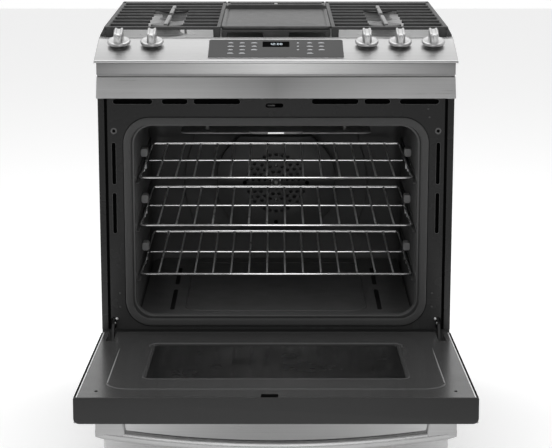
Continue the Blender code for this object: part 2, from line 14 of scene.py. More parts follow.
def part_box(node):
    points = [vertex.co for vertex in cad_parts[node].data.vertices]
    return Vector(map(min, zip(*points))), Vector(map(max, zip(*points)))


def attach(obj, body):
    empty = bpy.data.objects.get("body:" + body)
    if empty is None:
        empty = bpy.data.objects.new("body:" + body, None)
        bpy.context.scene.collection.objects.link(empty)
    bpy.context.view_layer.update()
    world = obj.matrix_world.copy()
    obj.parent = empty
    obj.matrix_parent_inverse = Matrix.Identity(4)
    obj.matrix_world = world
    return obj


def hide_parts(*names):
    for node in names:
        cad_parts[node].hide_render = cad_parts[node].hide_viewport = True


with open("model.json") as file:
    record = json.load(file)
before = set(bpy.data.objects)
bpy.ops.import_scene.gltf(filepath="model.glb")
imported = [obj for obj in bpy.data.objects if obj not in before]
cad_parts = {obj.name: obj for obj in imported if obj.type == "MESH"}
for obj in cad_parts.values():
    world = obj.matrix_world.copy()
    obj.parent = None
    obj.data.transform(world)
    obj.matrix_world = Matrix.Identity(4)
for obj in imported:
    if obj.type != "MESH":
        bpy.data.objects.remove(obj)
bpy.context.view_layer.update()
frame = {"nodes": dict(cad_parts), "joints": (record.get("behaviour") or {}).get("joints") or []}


def joint(name):
    return next(j for j in frame["joints"] if j["name"] == name)


# Driving places, read from the frame
FRONT_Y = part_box("oven_front_frame")[0].y
PIVOT = Vector(joint("door_hinge")["pos_m"])
DOOR_OPEN = math.radians(joint("door_hinge")["range_deg"][1])
PANEL_LOW, PANEL_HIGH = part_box("control_panel")
GLASS_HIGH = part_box("control_glass")[1]
SEAL_LOW, SEAL_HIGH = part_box("door_gasket")
LINER_LOW, LINER_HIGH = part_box("oven_liner")
FAN_LOW, FAN_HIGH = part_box("fan_cover")
GRIDDLE_LOW, GRIDDLE_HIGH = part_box("griddle")
NORMAL = Vector(joint("knob_1_turn")["axis"])
UPHILL = Vector((0, NORMAL.z, -NORMAL.y))
SIDES = (("left", -1), ("right", 1))
ENDS = ("front", "rear")
KNOBS = range(1, 6)
RACKS = ("lower", "middle", "upper")
UP = (0, 0, 1)
TOWARD = (0, -1, 0)
AWAY = (0, 1, 0)

# Sloped panel, its knobs and its clock
SLOPE_LENGTH = math.hypot(0.122, 0.033)
SLOPE_FOOT_Z = 0.902
KNOB_SHARE = 0.66
GLASS_TOP = 0.00202
SEGMENTS = {0: "abcdef", 1: "bc", 2: "abged"}

# Door, in its closed pose
DOOR_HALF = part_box("door_edge_trim")[1].x
DOOR_TOP = 0.818
DOOR_BOTTOM = 0.262
DOOR_BACK = -0.004
DOOR_FACE = -0.054
WINDOW_HALF = 0.254
WINDOW_Z = (0.3855, 0.6685)
HANDLE_Z = 0.758
HANDLE_END = 0.043
HANDLE_BOW = 0.071

# Oven mouth and racks
MOUTH_HALF = 0.3045
MOUTH_Z = (0.34, 0.761)
MOUTH_RADIUS = 0.04
WALL = 0.3048
RACK_CENTRE = 0.00675
LONG_WIRES = 14
LONG_WIRE_PITCH = 0.04

# Slots of the front frame as X and height limits, and the groove down each side
FRONT_SLOTS = (
    (0.076, 0.1755, 0.807, 0.8186), (0.188, 0.243, 0.807, 0.8186), (0.263, 0.347, 0.807, 0.8186),
    (0.3427, 0.3513, 0.6325, 0.724), (0.3427, 0.3513, 0.524, 0.614), (0.348, 0.3592, 0.3105, 0.336),
)
GROOVE = (0.3598, 0.366)

# Grates
GRATE_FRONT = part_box("grate_left")[0].y - FRONT_Y
GRATE_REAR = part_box("grate_left")[1].y - FRONT_Y
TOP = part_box("grate_left")[1].z
UNDER = TOP - 0.007
FOOT_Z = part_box("grate_left")[0].z
REAR_BAND = GRATE_REAR - 0.017
BURNER_X = 0.2445
BAR_DEPTHS = (0.195, 0.253, 0.315, 0.374, 0.433)
CENTRE_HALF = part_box("grate_center")[1].x


# Materials

def grey(tone):
    return (tone, tone, tone, 1.0)


def put(tree, inputs, **values):
    """Sets or links inputs by name, with _ for a space."""
    for key, value in values.items():
        socket = inputs[key.replace("_", " ")]
        if isinstance(value, bpy.types.NodeSocket):
            tree.links.new(value, socket)
        else:
            socket.default_value = value


def add_node(tree, kind, operation=None, **values):
    node = tree.nodes.new("ShaderNode" + kind)
    if operation:
        node.operation = operation
    put(tree, node.inputs, **values)
    return node


def ranged(tree, value, low, high, start=0.3, end=0.7):
    """Maps start..end to low..high."""
    node = add_node(tree, "MapRange", Value=value, From_Min=start, From_Max=end, To_Min=low, To_Max=high)
    return node.outputs["Result"]


class Look:
    """A Principled material in the making."""

    def __init__(self, name, colour, roughness, metallic=0.0, **others):
        self.made = bpy.data.materials.new(name)
        self.made.use_nodes = True
        self.tree = self.made.node_tree
        self.place = add_node(self.tree, "TexCoord").outputs["Object"]
        self.put(Base_Color=colour, Roughness=roughness, Metallic=metallic, **others)

    def put(self, **values):
        put(self.tree, self.tree.nodes["Principled BSDF"].inputs, **values)

    def noise(self, scale, detail=3.0, roughness=0.5, vector=None):
        values = {"Scale": scale, "Detail": detail, "Roughness": roughness}
        return add_node(self.tree, "TexNoise", Vector=vector or self.place, **values).outputs["Fac"]

    def tinted(self, value, dark, light, start=0.3, end=0.7):
        """The base colour runs between two greys as the value goes up."""
        ramp = add_node(self.tree, "ValToRGB", Fac=value)
        for stop, position, tone in zip(ramp.color_ramp.elements, (start, end), (dark, light)):
            stop.position = position
            stop.color = grey(tone)
        self.put(Base_Color=ramp.outputs["Color"])

    def matted(self, value, low, high, start=0.3, end=0.7):
        """The roughness runs from low to high as the value goes up."""
        self.put(Roughness=ranged(self.tree, value, low, high, start, end))

    def bumped(self, value, strength, distance):
        node = add_node(self.tree, "Bump", Height=value, Strength=strength, Distance=distance)
        self.put(Normal=node.outputs["Normal"])

    def scaled(self, axis, low, high, start, end):
        """Scales the base colour from low to high along X, away from the middle, or along Z; used for
        painted reflection and painted light.
        """
        source = self.tree.nodes["Principled BSDF"].inputs["Base Color"].links[0].from_socket
        value = add_node(self.tree, "SeparateXYZ", Vector=self.place).outputs[axis]
        if axis == "X":
            value = add_node(self.tree, "Math", "ABSOLUTE", Value=value).outputs[0]
        scale = ranged(self.tree, value, low, high, start, end)
        tone = add_node(self.tree, "VectorMath", "SCALE", Vector=source, Scale=scale)
        self.put(Base_Color=tone.outputs[0])


def brushed_steel(name, tone, roughness, along="X", ends=1.0):
    """Satin steel with fine scratches that run one way, and ends painted darker or lighter as painted
    reflection.
    """
    look = Look(name, grey(tone), roughness, 1.0)
    scale = [3 if axis == along else 420 for axis in "XYZ"]
    streaks = add_node(look.tree, "Mapping", Vector=look.place, Scale=scale).outputs["Vector"]
    grain = look.noise(1.0, 4.0, 0.65, streaks)
    cloud = look.noise(7.0, 2.0)
    look.tinted(grain, tone * 0.93, tone * 1.04)
    # Painted reflection: the base colour scales from the middle out to the ends along X.
    if ends != 1.0:
        look.scaled("X", 1.0, ends, 0.0, 0.38)
    mixed = add_node(look.tree, "Math", "MULTIPLY_ADD", Value=grain)
    mixed.inputs[1].default_value = 0.16
    base = ranged(look.tree, cloud, roughness - 0.1, roughness - 0.04)
    look.tree.links.new(base, mixed.inputs[2])
    look.put(Roughness=mixed.outputs[0])
    look.bumped(grain, 0.1, 0.0002)
    return look.made


def enamel(name, tone, roughness, speckle=0.0, gloss=0.2, painted_light_foot_gain=1.0):
    """Glossy porcelain enamel: faint waves, fine pits and, if asked, a foot painted lighter as painted
    light.
    """
    look = Look(name, grey(tone), roughness, Specular_IOR_Level=gloss)
    look.put(Coat_Weight=0.06, Coat_Roughness=0.08)
    pits = look.noise(900.0, 2.0)
    waves = look.noise(26.0, 2.0)
    look.tinted(pits, tone * 0.93, tone * (1.06 + speckle), 0.35, 0.75)
    # Painted light: the base colour is scaled up towards the foot, below about 0.5 m.
    if painted_light_foot_gain != 1.0:
        look.scaled("Z", painted_light_foot_gain, 1.0, 0.33, 0.52)
    look.matted(waves, roughness * 0.92, roughness * 1.12)
    look.bumped(waves, 0.03, 0.001)
    return look.made


def satin_paint(name, tone, roughness, gloss=0.4):
    look = Look(name, grey(tone), roughness, Specular_IOR_Level=gloss)
    peel = look.noise(420.0)
    look.tinted(look.noise(5.0, 2.0), tone * 0.93, tone * 1.07)
    look.matted(peel, roughness - 0.05, roughness + 0.08)
    look.bumped(peel, 0.18, 0.0004)
    return look.made


def cast_iron(name, tone, roughness, bump=0.5, metallic=0.0):
    """Enamelled casting: sandy grain and soft blotches."""
    look = Look(name, grey(tone), roughness, metallic, Specular_IOR_Level=0.45)
    sand = look.noise(650.0, 4.0, 0.6)
    look.tinted(look.noise(45.0), tone * 0.84, tone * 1.18)
    look.matted(sand, roughness - 0.08, roughness + 0.1)
    look.bumped(sand, bump, 0.0006)
    return look.made


def chrome(name, tone, roughness, metallic=1.0):
    look = Look(name, grey(tone), roughness, metallic)
    haze = look.noise(60.0)
    look.tinted(haze, tone * 0.92, tone * 1.04)
    look.matted(haze, roughness * 0.7, roughness * 1.6)
    return look.made


def zinc(name, tone, roughness):
    """Zinc coated sheet with faint spangles."""
    look = Look(name, grey(tone), roughness, 1.0)
    cells = add_node(look.tree, "TexVoronoi", Vector=look.place, Scale=85.0).outputs["Color"]
    look.tinted(cells, tone * 0.86, tone * 1.1, 0.1, 0.9)
    look.matted(cells, roughness - 0.08, roughness + 0.1, 0, 1)
    return look.made


def dark_glass(name, tone, roughness=0.04, gloss=0.5):
    look = Look(name, grey(tone), roughness, Specular_IOR_Level=gloss)
    smear = look.noise(9.0)
    look.matted(smear, roughness * 0.6, roughness * 2.2)
    look.tinted(smear, tone * 0.9, tone * 1.1)
    return look.made


def braid(name, tone):
    """Woven glass-fibre seal: a fine diagonal braid."""
    look = Look(name, grey(tone), 0.85, Sheen_Weight=0.25)
    both = add_node(look.tree, "Math", "MULTIPLY")
    for socket, direction in zip(both.inputs, ("DIAGONAL", "X")):
        wave = add_node(look.tree, "TexWave", Vector=look.place, Scale=160.0, Distortion=1.5)
        wave.bands_direction = direction
        look.tree.links.new(wave.outputs["Fac"], socket)
    look.tinted(both.outputs[0], tone * 0.6, tone * 1.4, 0.1, 0.8)
    look.bumped(both.outputs[0], 0.6, 0.0008)
    return look.made


def glow(name, colour, strength):
    look = Look(name, colour, 0.4, Emission_Color=colour, Emission_Strength=strength)
    look.matted(look.noise(300.0), 0.35, 0.5)
    return look.made


MAT = {
    "panel": brushed_steel("panel_steel", 0.47, 0.34),
    # The trims' ends are painted reflection: the upper bar darkens towards its ends, and the lower bar, a
    # darker copy of the steel, lightens towards its ends.
    "upper_trim": brushed_steel("upper_trim_steel", 0.49, 0.3, ends=0.38),
    "lower_trim": brushed_steel("lower_trim_steel", 0.23, 0.3, ends=2.6),
    "seam_steel": brushed_steel("seam_steel", 0.25, 0.36),
    "knob": brushed_steel("knob_steel", 0.52, 0.36, "Y"),
    "door_steel": brushed_steel("door_steel", 0.6, 0.32),
    "drawer_steel": brushed_steel("drawer_steel", 0.62, 0.3),
    "handle": brushed_steel("handle_steel", 0.38, 0.24),
    "post": brushed_steel("post_steel", 0.36, 0.34),
    "pan": brushed_steel("cooktop_steel", 0.48, 0.5),
    # The frame's lower part is painted lighter: painted light.
    "frame": enamel("frame_enamel", 0.012, 0.26, painted_light_foot_gain=3.6),
    # A lighter copy of the frame enamel: painted highlight round the frame slots; also the tone of the
    # mouth lip, the window bead and the frame screws.
    "rim": enamel("rim_enamel", 0.08, 0.3),
    "boss": enamel("boss_enamel", 0.11, 0.34),
    "pad": enamel("pad_enamel", 0.34, 0.36),
    "liner": enamel("cavity_enamel", 0.078, 0.34, 0.1, 0.26),
    "door_enamel": enamel("door_enamel", 0.045, 0.24, 0.0, 0.26),
    "edge": satin_paint("edge_paint", 0.018, 0.5),
    "side": satin_paint("side_paint", 0.06, 0.46),
    "iron": cast_iron("grate_iron", 0.055, 0.52),
    # A much lighter copy of the grate iron, for the spines: painted highlight on their long tops.
    "painted_highlight_iron": cast_iron("painted_highlight_iron", 0.26, 0.42, 0.3, 0.3),
    "griddle": cast_iron("griddle_iron", 0.088, 0.46, 0.3, 0.4),
    "cap": cast_iron("cap_enamel", 0.012, 0.32, 0.15),
    "chrome": chrome("rack_chrome", 0.9, 0.14),
    "wire": chrome("long_wire_chrome", 0.9, 0.34, 0.6),
    "bright": chrome("bright_steel", 0.78, 0.16),
    "hinge": chrome("hinge_steel", 0.05, 0.4),
    "zinc": zinc("zinc_sheet", 0.48, 0.4),
    "alloy": cast_iron("burner_alloy", 0.3, 0.45, 0.3),
    "glass": dark_glass("panel_glass", 0.045, 0.06, 0.15),
    "clock": dark_glass("clock_glass", 0.004, 0.05, 0.0),
    "window": dark_glass("window_glass", 0.008, 0.14, 0.25),
    "seal": braid("seal_braid", 0.072),
    "rubber": satin_paint("foot_rubber", 0.035, 0.75),
    "lamp": dark_glass("lamp_glass", 0.35, 0.1),
    "digits": glow("display_digits", (0.62, 0.7, 0.76, 1.0), 0.5),
    "legend": glow("panel_legends", (0.55, 0.56, 0.58, 1.0), 0.25),
    # Near-black: painted shade in the frame grooves, behind the frame slots, along the seal, in the boss
    # holes and the latch slot; also the fan cover screws and the door's side strips.
    "dark": satin_paint("painted_shade_and_black", 0.003, 0.9, 0.0),
}


# Mesh tools

def mm(*pairs):
    """Pairs of millimetres, in metres."""
    return [(u / 1000, v / 1000) for u, v in pairs]


def mesh_of(name, bm):
    """A new object of a bmesh, in the scene."""
    bmesh.ops.recalc_face_normals(bm, faces=bm.faces)
    mesh = bpy.data.meshes.new(name)
    bm.to_mesh(mesh)
    bm.free()
    made = bpy.data.objects.new(name, mesh)
    bpy.context.collection.objects.link(made)
    return made


def soften(made, width, segments, angle):
    """Rounds the edges that are sharper than an angle, if a width is asked for."""
    if width:
        edge = made.modifiers.new("edges", "BEVEL")
        edge.width = width
        edge.segments = segments
        edge.limit_method = "ANGLE"
        edge.angle_limit = math.radians(angle)


def piece(name, bm, look, body="body", replaced=(), smooth=True, bevel=0.0, angle=35, cut=None):
    """A finished piece that rides on a CAD body, less the cut if there is one.

    Door pieces are made closed, and turned here to the open pose that they have at rest.
    """
    if body == "door":
        bmesh.ops.rotate(bm, verts=bm.verts, cent=PIVOT, matrix=Matrix.Rotation(DOOR_OPEN, 3, "X"))
    made = mesh_of(name, bm)
    mesh = made.data
    if cut:
        cutter = mesh_of(name + "_cut", cut)
        step = made.modifiers.new("holes", "BOOLEAN")
        step.operation = "DIFFERENCE"
        step.solver = "EXACT"
        step.object = cutter
        graph = bpy.context.evaluated_depsgraph_get()
        mesh = bpy.data.meshes.new_from_object(made.evaluated_get(graph))
        made.modifiers.clear()
        made.data = mesh
        bpy.data.objects.remove(cutter, do_unlink=True)
    mesh.materials.clear()
    mesh.materials.append(MAT[look])
    soften(made, bevel, 3, 30)
    if smooth:
        mesh.shade_smooth()
        mesh.set_sharp_from_angle(angle=math.radians(angle))
    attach(made, body)
    if replaced:
        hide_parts(*replaced)
    return made


def add_box(bm, x0, x1, y0, y1, z0, z1):
    corners = [bm.verts.new((x, y, z)) for x in (x0, x1) for y in (y0, y1) for z in (z0, z1)]
    for ring in ((0, 1, 3, 2), (4, 6, 7, 5), (0, 4, 5, 1), (2, 3, 7, 6), (0, 2, 6, 4), (1, 5, 7, 3)):
        bm.faces.new([corners[i] for i in ring])


def depth_box(bm, x0, x1, d0, d1, z0, z1):
    x0, x1 = sorted((x0, x1))
    add_box(bm, x0, x1, FRONT_Y + d0, FRONT_Y + d1, z0, z1)


def depths(node):
    """A node's nearest and furthest depth."""
    low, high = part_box(node)
    return low.y - FRONT_Y, high.y - FRONT_Y


def loft(bm, loops, closed=False, caps=True):
    """Skins a row of equally long rings of points."""
    rings = [[bm.verts.new(p) for p in loop] for loop in loops]
    pairs = list(zip(rings, rings[1:]))
    if closed:
        pairs.append((rings[-1], rings[0]))
    for a, b in pairs:
        for i in range(len(a)):
            j = (i + 1) % len(a)
            bm.faces.new((a[i], a[j], b[j], b[i]))
    if caps and not closed:
        bm.faces.new(rings[0])
        bm.faces.new(rings[-1])


def extrude(bm, outline, at, start, end):
    loft(bm, [[at(u, v, w) for u, v in outline] for w in (start, end)])


def across(u, v, w):
    return (w, FRONT_Y + u, v)


def facing(u, v, w):
    return (u, FRONT_Y + w, v)


def level(u, v, w):
    return (u, FRONT_Y + v, w)


def circle(count, offset=0.0):
    """The cosine and sine of evenly spread angles."""
    angles = [2 * math.pi * (n + offset) / count for n in range(count)]
    return [(math.cos(angle), math.sin(angle)) for angle in angles]


def arc(cx, cz, radius, start, sweep=90, steps=8):
    """Points on a circle, from a start angle over a sweep in degrees."""
    angles = [math.radians(start + sweep * n / steps) for n in range(steps + 1)]
    return [(cx + radius * math.cos(angle), cz + radius * math.sin(angle)) for angle in angles]


def both_sides(path):
    """The mirror image of a path, and then the path backwards."""
    return [(-x, z) for x, z in path] + path[::-1]


def rounded(x0, x1, z0, z1, radius, steps=8):
    """The outline of a rectangle with round corners."""
    x0, x1 = sorted((x0, x1))
    right, left, top, bottom = x1 - radius, x0 + radius, z1 - radius, z0 + radius
    outline = []
    for cx, cz, turn in ((right, top, 0), (left, top, 90), (left, bottom, 180), (right, bottom, 270)):
        outline += arc(cx, cz, radius, turn, 90, steps)
    return outline


def stack(bm, at, limits, radius, rings, steps=6, closed=False, caps=True, shrink=1.0):
    """Skins a rounded rectangle that each ring makes smaller by its first number, at its second."""
    x0, x1, z0, z1 = limits
    loops = []
    for inset, w in rings:
        outline = rounded(x0 + inset, x1 - inset, z0 + inset, z1 - inset, radius - inset * shrink, steps)
        loops.append([at(u, v, w) for u, v in outline])
    loft(bm, loops, closed, caps)


def tube(bm, points, radius, segments=8, closed=False):
    """A round wire along points."""
    points = [Vector(p) for p in points]
    count = len(points)
    loops = []
    for i, p in enumerate(points):
        before = points[i - 1] if i or closed else p
        after = points[(i + 1) % count] if i + 1 < count or closed else p
        ahead = (after - before).normalized()
        side = ahead.cross(Vector((0, 0, 1)))
        if side.length < 0.1:
            side = ahead.cross(Vector((0, 1, 0)))
        side.normalize()
        lift = side.cross(ahead).normalized()
        loops.append([p + radius * (c * side + s * lift) for c, s in circle(segments)])
    loft(bm, loops, closed)


def lathe(bm, profile, base, axis=UP, segments=40):
    """A solid of revolution from (radius, height) pairs along an axis."""
    turn = Vector(UP).rotation_difference(Vector(axis)).to_matrix()
    loops = []
    for radius, height in profile:
        ring = [Vector((radius * c, radius * s, height)) for c, s in circle(segments)]
        loops.append([turn @ at + Vector(base) for at in ring])
    loft(bm, loops)


def turned(name, look, profile, spots, axis=UP, segments=40, body="body", replaced=()):
    """A piece with one turned shape at each spot."""
    bm = bmesh.new()
    for spot in spots:
        lathe(bm, profile, spot, axis, segments)
    piece(name, bm, look, body, replaced)


def wired(name, look, paths, radius, segments=8, closed=False, body="body", angle=35):
    """A piece with a round wire along each path."""
    bm = bmesh.new()
    for path in paths:
        tube(bm, path, radius, segments, closed)
    piece(name, bm, look, body, angle=angle)


def dress(node, look, bevel=0.0):
    """Gives a CAD node that stays its material and, if asked, softer edges."""
    made = frame["nodes"][node]
    made.data.materials.clear()
    made.data.materials.append(MAT[look])
    soften(made, bevel, 2, 40)


# Control panel

def on_slope(x, along, above):
    """A point of the sloped panel: along it from the front, and above it."""
    start = Vector((x, PANEL_LOW.y, SLOPE_FOOT_Z))
    return start + UPHILL * along + NORMAL * above


def slope_box(bm, x0, x1, a0, a1, h0, h1):
    extrude(bm, ((x0, a0), (x1, a0), (x1, a1), (x0, a1)), on_slope, h0, h1)


def control_panel():
    bm = bmesh.new()
    half = PANEL_HIGH.x
    front, back = PANEL_LOW.y, PANEL_HIGH.y
    low, high = PANEL_LOW.z, PANEL_HIGH.z
    lip = 0.003
    profile = [
        (front, low), (front, low + 0.003), (front + 0.0006, low + 0.0044), (front + 0.0018, low + 0.0056),
        (front + 0.004, 0.9026), (back - 0.006, high - 0.0018), (back - 0.003, high - 0.0006),
        (back, high - 0.001), (back, low), (back - lip, low), (back - lip, high - lip - 0.001),
        (front + lip, low + lip), (front + lip, low),
    ]
    stations = (
        (-half, 0.0006), (-half + 0.0006, 0.0001), (-half + 0.0016, 0), (half - 0.0016, 0),
        (half - 0.0006, 0.0001), (half, 0.0006),
    )
    loft(bm, [[(x, y, z - drop) for y, z in profile] for x, drop in stations])
    piece("control_panel_sheet", bm, "panel", "body", ["control_panel"])
    seat = mm((6.2, 0), (20.5, 0), (20.5, 0.6), (19, 0.9), (6.2, 0.9))
    places = [joint(f"knob_{n}_turn")["pos_m"][0] for n in KNOBS]
    spots = [on_slope(x, KNOB_SHARE * SLOPE_LENGTH, 0.0002) for x in places]
    turned("knob_seats", "post", seat, spots, NORMAL)


def control_glass():
    """The touch panel: a grey glass plate, a black clock window and a painted highlight of bright steel
    along its left and front edges.
    """
    bm = bmesh.new()
    half = GLASS_HIGH.x
    near, far = 0.12 * SLOPE_LENGTH, 0.88 * SLOPE_LENGTH
    rings = mm((0, 0.2), (0, 1.3), (0.8, 2))
    stack(bm, on_slope, (-half, half, near, far), 0.005, rings)
    piece("control_glass_plate", bm, "glass", "body", ["control_glass"], angle=20)
    clock = bmesh.new()
    outline = rounded(-0.029, 0.029, 0.55 * SLOPE_LENGTH, 0.79 * SLOPE_LENGTH, 0.002, 4)
    extrude(clock, outline, on_slope, 0.0016, GLASS_TOP + 0.0001)
    piece("clock_window", clock, "clock", smooth=False)
    # A bright wire on the left and front edges only: painted highlight.
    path = [(-half - 0.0004, far), (-half - 0.0004, near - 0.0004), (half, near - 0.0004)]
    wired("control_glass_highlight", "bright", [[on_slope(u, v, 0.0008) for u, v in path]], 0.0009, 6)
    display()
    legends()


def display():
    """A generic clock reading in seven-segment digits."""
    bm = bmesh.new()
    width, height, bar = 0.0044, 0.0092, 0.0009
    base = 0.64 * SLOPE_LENGTH
    middle = height / 2
    spots = {
        "a": (0, width, height - bar, height), "d": (0, width, 0, bar),
        "g": (0, width, middle - bar / 2, middle + bar / 2),
        "b": (width - bar, width, middle, height), "c": (width - bar, width, 0, middle),
        "f": (0, bar, middle, height), "e": (0, bar, 0, middle),
    }
    low, high = GLASS_TOP + 0.0001, GLASS_TOP + 0.0002
    for digit, x in zip((1, 2, 0, 0), (-0.014, -0.0075, 0.0025, 0.009)):
        for name in SEGMENTS[digit]:
            x0, x1, a0, a1 = spots[name]
            slope_box(bm, x + x0, x + x1, base + a0, base + a1, low, high)
    for up in (0.0026, 0.006):
        slope_box(bm, -0.0012, -0.0002, base + up, base + up + 0.001, low, high)
    piece("display_digits", bm, "digits", smooth=False)


def legends():
    """Plain dashes where a panel like this has its touch keys."""
    bm = bmesh.new()
    low, high = GLASS_TOP, GLASS_TOP + 0.0001
    for x, rows in ((-0.0975, 4), (-0.0725, 4), (-0.047, 3), (0.047, 3), (0.0725, 4), (0.0975, 3)):
        for row in range(rows):
            along = (0.72 - 0.15 * row) * SLOPE_LENGTH
            half = 0.0066 if (row + rows) % 2 else 0.0054
            if x == 0.047:
                half = 0.0022
            slope_box(bm, x - half, x + half, along, along + 0.0017, low, high)
            slope_box(bm, x - half * 0.6, x + half * 0.6, along + 0.0034, along + 0.0044, low, high)
    piece("touch_legends", bm, "legend", smooth=False)


def knob(number):
    """A dished base with a broad grooved fin, turned about the panel's normal."""
    foot = Vector(joint(f"knob_{number}_turn")["pos_m"])
    bm = bmesh.new()
    base = mm(
        (5, 5), (18.5, 4.4), (23.8, 5.2), (24.8, 6.6), (25, 8.8), (24.7, 10.8), (23.6, 12.2), (21.6, 12.8),
        (19, 12.4), (13, 12), (5, 12),
    )
    lathe(bm, base, foot, NORMAL, 48)
    half = 0.0228
    edge = [
        (0.0102, 0.0), (0.0097, 0.5), (0.0091, 0.92), (0.0082, 0.985), (0.0068, 1.0), (0.005, 0.985),
        (0.0034, 0.9),
    ]
    section = both_sides(edge)
    loops = []
    for n in range(17):
        angle = math.pi * (n / 16 - 0.5)
        share = abs(math.sin(angle))
        tall = 0.024 * max(1 - share ** 10, 0.1) ** 0.5
        wide = max(1 - share ** 8, 0.3) ** 0.5
        spot = foot + UPHILL * (half * math.sin(angle)) + NORMAL * 0.0108
        loops.append([spot + Vector((x * wide, 0, 0)) + NORMAL * (h * tall) for x, h in section])
    loft(bm, loops)
    piece(f"knob_{number}_turned", bm, "knob", f"knob_{number}", [f"knob_{number}"], angle=50)


# Front trims

def front_trims():
    """The flat bar under the panel, the flared bar above the door, and the dark seam between them."""
    upper_low, upper_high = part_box("upper_front_trim")
    low, high = upper_low.z, upper_high.z
    half = upper_high.x
    bm = bmesh.new()
    profile = [
        (-0.0072, high), (-0.008, high - 0.001), (-0.008, low + 0.0016), (-0.0072, low), (0.004, low),
        (0.004, high),
    ]
    extrude(bm, profile, across, -half, half)
    piece("upper_trim_bar", bm, "upper_trim", "body", ["upper_front_trim"])
    seam_top = low
    lower_low, lower_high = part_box("lower_front_trim")
    low, high = lower_low.z, lower_high.z
    bm = bmesh.new()
    profile = [
        (-0.0045, high), (-0.0066, high - 0.001), (-0.0272, low + 0.0026), (-0.028, low + 0.0008),
        (-0.027, low), (0.0034, low), (0.0034, high),
    ]
    extrude(bm, profile, across, -half, half)
    piece("lower_trim_bar", bm, "lower_trim", "body", ["lower_front_trim"])
    seam = bmesh.new()
    depth_box(seam, -half + 0.001, half - 0.001, -0.0035, 0.002, high + 0.0002, seam_top - 0.0002)
    piece("trim_seam_strip", seam, "seam_steel", bevel=0.0004)


# Cooktop

def bar(bm, start, end, width, z0, z1):
    """A cast bar with round top edges and round ends, from start to end in X and depth."""
    a = Vector((start[0], start[1], 0))
    b = Vector((end[0], end[1], 0))
    ahead = (b - a).normalized()
    side = Vector((-ahead.y, ahead.x, 0))
    half = width / 2
    tall = z1 - z0
    soft = min(half * 0.55, 0.0026)
    section = [
        (half * 0.82, 0), (half, tall * 0.35), (half, tall - soft), (half - soft * 0.3, tall - soft * 0.3),
        (half - soft, tall),
    ]
    section = both_sides(section)
    length = (b - a).length
    stations = [(0, 0.55), (soft * 0.4, 0.86), (soft, 1.0)]
    stations += [(length - along, share) for along, share in reversed(stations)]
    loops = []
    for along, share in stations:
        ring = []
        for s, h in section:
            p = a + ahead * along + side * (s * share)
            drop = (1 - share) * soft * 0.8
            ring.append((p.x, FRONT_Y + p.y, z0 + min(h, tall - drop)))
        loops.append(ring)
    loft(bm, loops)


def leg(bm, x, depth, wide, thick, z0, z1):
    """A tapered foot of a grate."""
    loops = []
    for share, z in ((1.0, z1), (0.92, z0 + 0.006), (0.85, z0 + 0.001), (0.78, z0)):
        u, v = wide * share / 2, thick * share / 2
        outline = rounded(x - u, x + u, depth - v, depth + v, min(wide, thick) * share * 0.3, 3)
        loops.append([level(u, v, z) for u, v in outline])
    loft(bm, loops)


def side_grate(side, sign):
    """Fingers from both side rails over the front and the rear burner."""
    bm = bmesh.new()
    spine = bmesh.new()
    inner, outer = 0.1252, 0.3708
    middle = BURNER_X

    def run(x0, d0, x1, d1, width=0.009, z0=UNDER, z1=TOP, into=bm):
        bar(into, (sign * x0, d0), (sign * x1, d1), width, z0, z1)

    run(inner, GRATE_FRONT, inner, GRATE_REAR, 0.0092)
    run(outer, GRATE_FRONT, outer, GRATE_REAR, 0.0104)
    run(inner, GRATE_FRONT + 0.0042, outer, GRATE_FRONT + 0.0042, 0.0084)
    run(inner, 0.4925, outer, 0.4925)
    run(inner, 0.5505, outer, 0.5505)
    run(inner - 0.0045, REAR_BAND, outer + 0.005, REAR_BAND, 0.034)
    run(middle, 0.188, middle, 0.35, into=spine)
    run(middle, 0.4, middle, 0.552, into=spine)
    run(middle, 0.135, middle, 0.192, 0.008, UNDER, UNDER + 0.0034)
    for depth in BAR_DEPTHS:
        run(inner, depth, 0.2062, depth)
        run(0.2828, depth, outer, depth)
    skirt = [
        (0.37, TOP - 0.006), (0.3748, TOP - 0.002), (0.3762, TOP - 0.004), (0.3788, 0.948),
        (0.3832, 0.94), (0.3846, 0.9354), (0.379, 0.9354), (0.3745, 0.94), (0.3705, 0.946),
    ]
    loft(bm, [[(sign * x, FRONT_Y + d, z) for x, z in skirt] for d in (GRATE_FRONT, GRATE_REAR)])
    for depth in (GRATE_FRONT + 0.0048, 0.374, 0.623):
        leg(bm, sign * 0.1292, depth, 0.0165, 0.009, FOOT_Z, UNDER + 0.003)
        leg(bm, sign * 0.364, depth, 0.018, 0.009, FOOT_Z, UNDER + 0.003)
    piece(f"grate_{side}_casting", bm, "iron", f"grate_{side}", [f"grate_{side}"], angle=40)
    # The spine takes the lighter iron copy: painted highlight.
    piece(f"grate_{side}_spine", spine, "painted_highlight_iron", f"grate_{side}", angle=40)


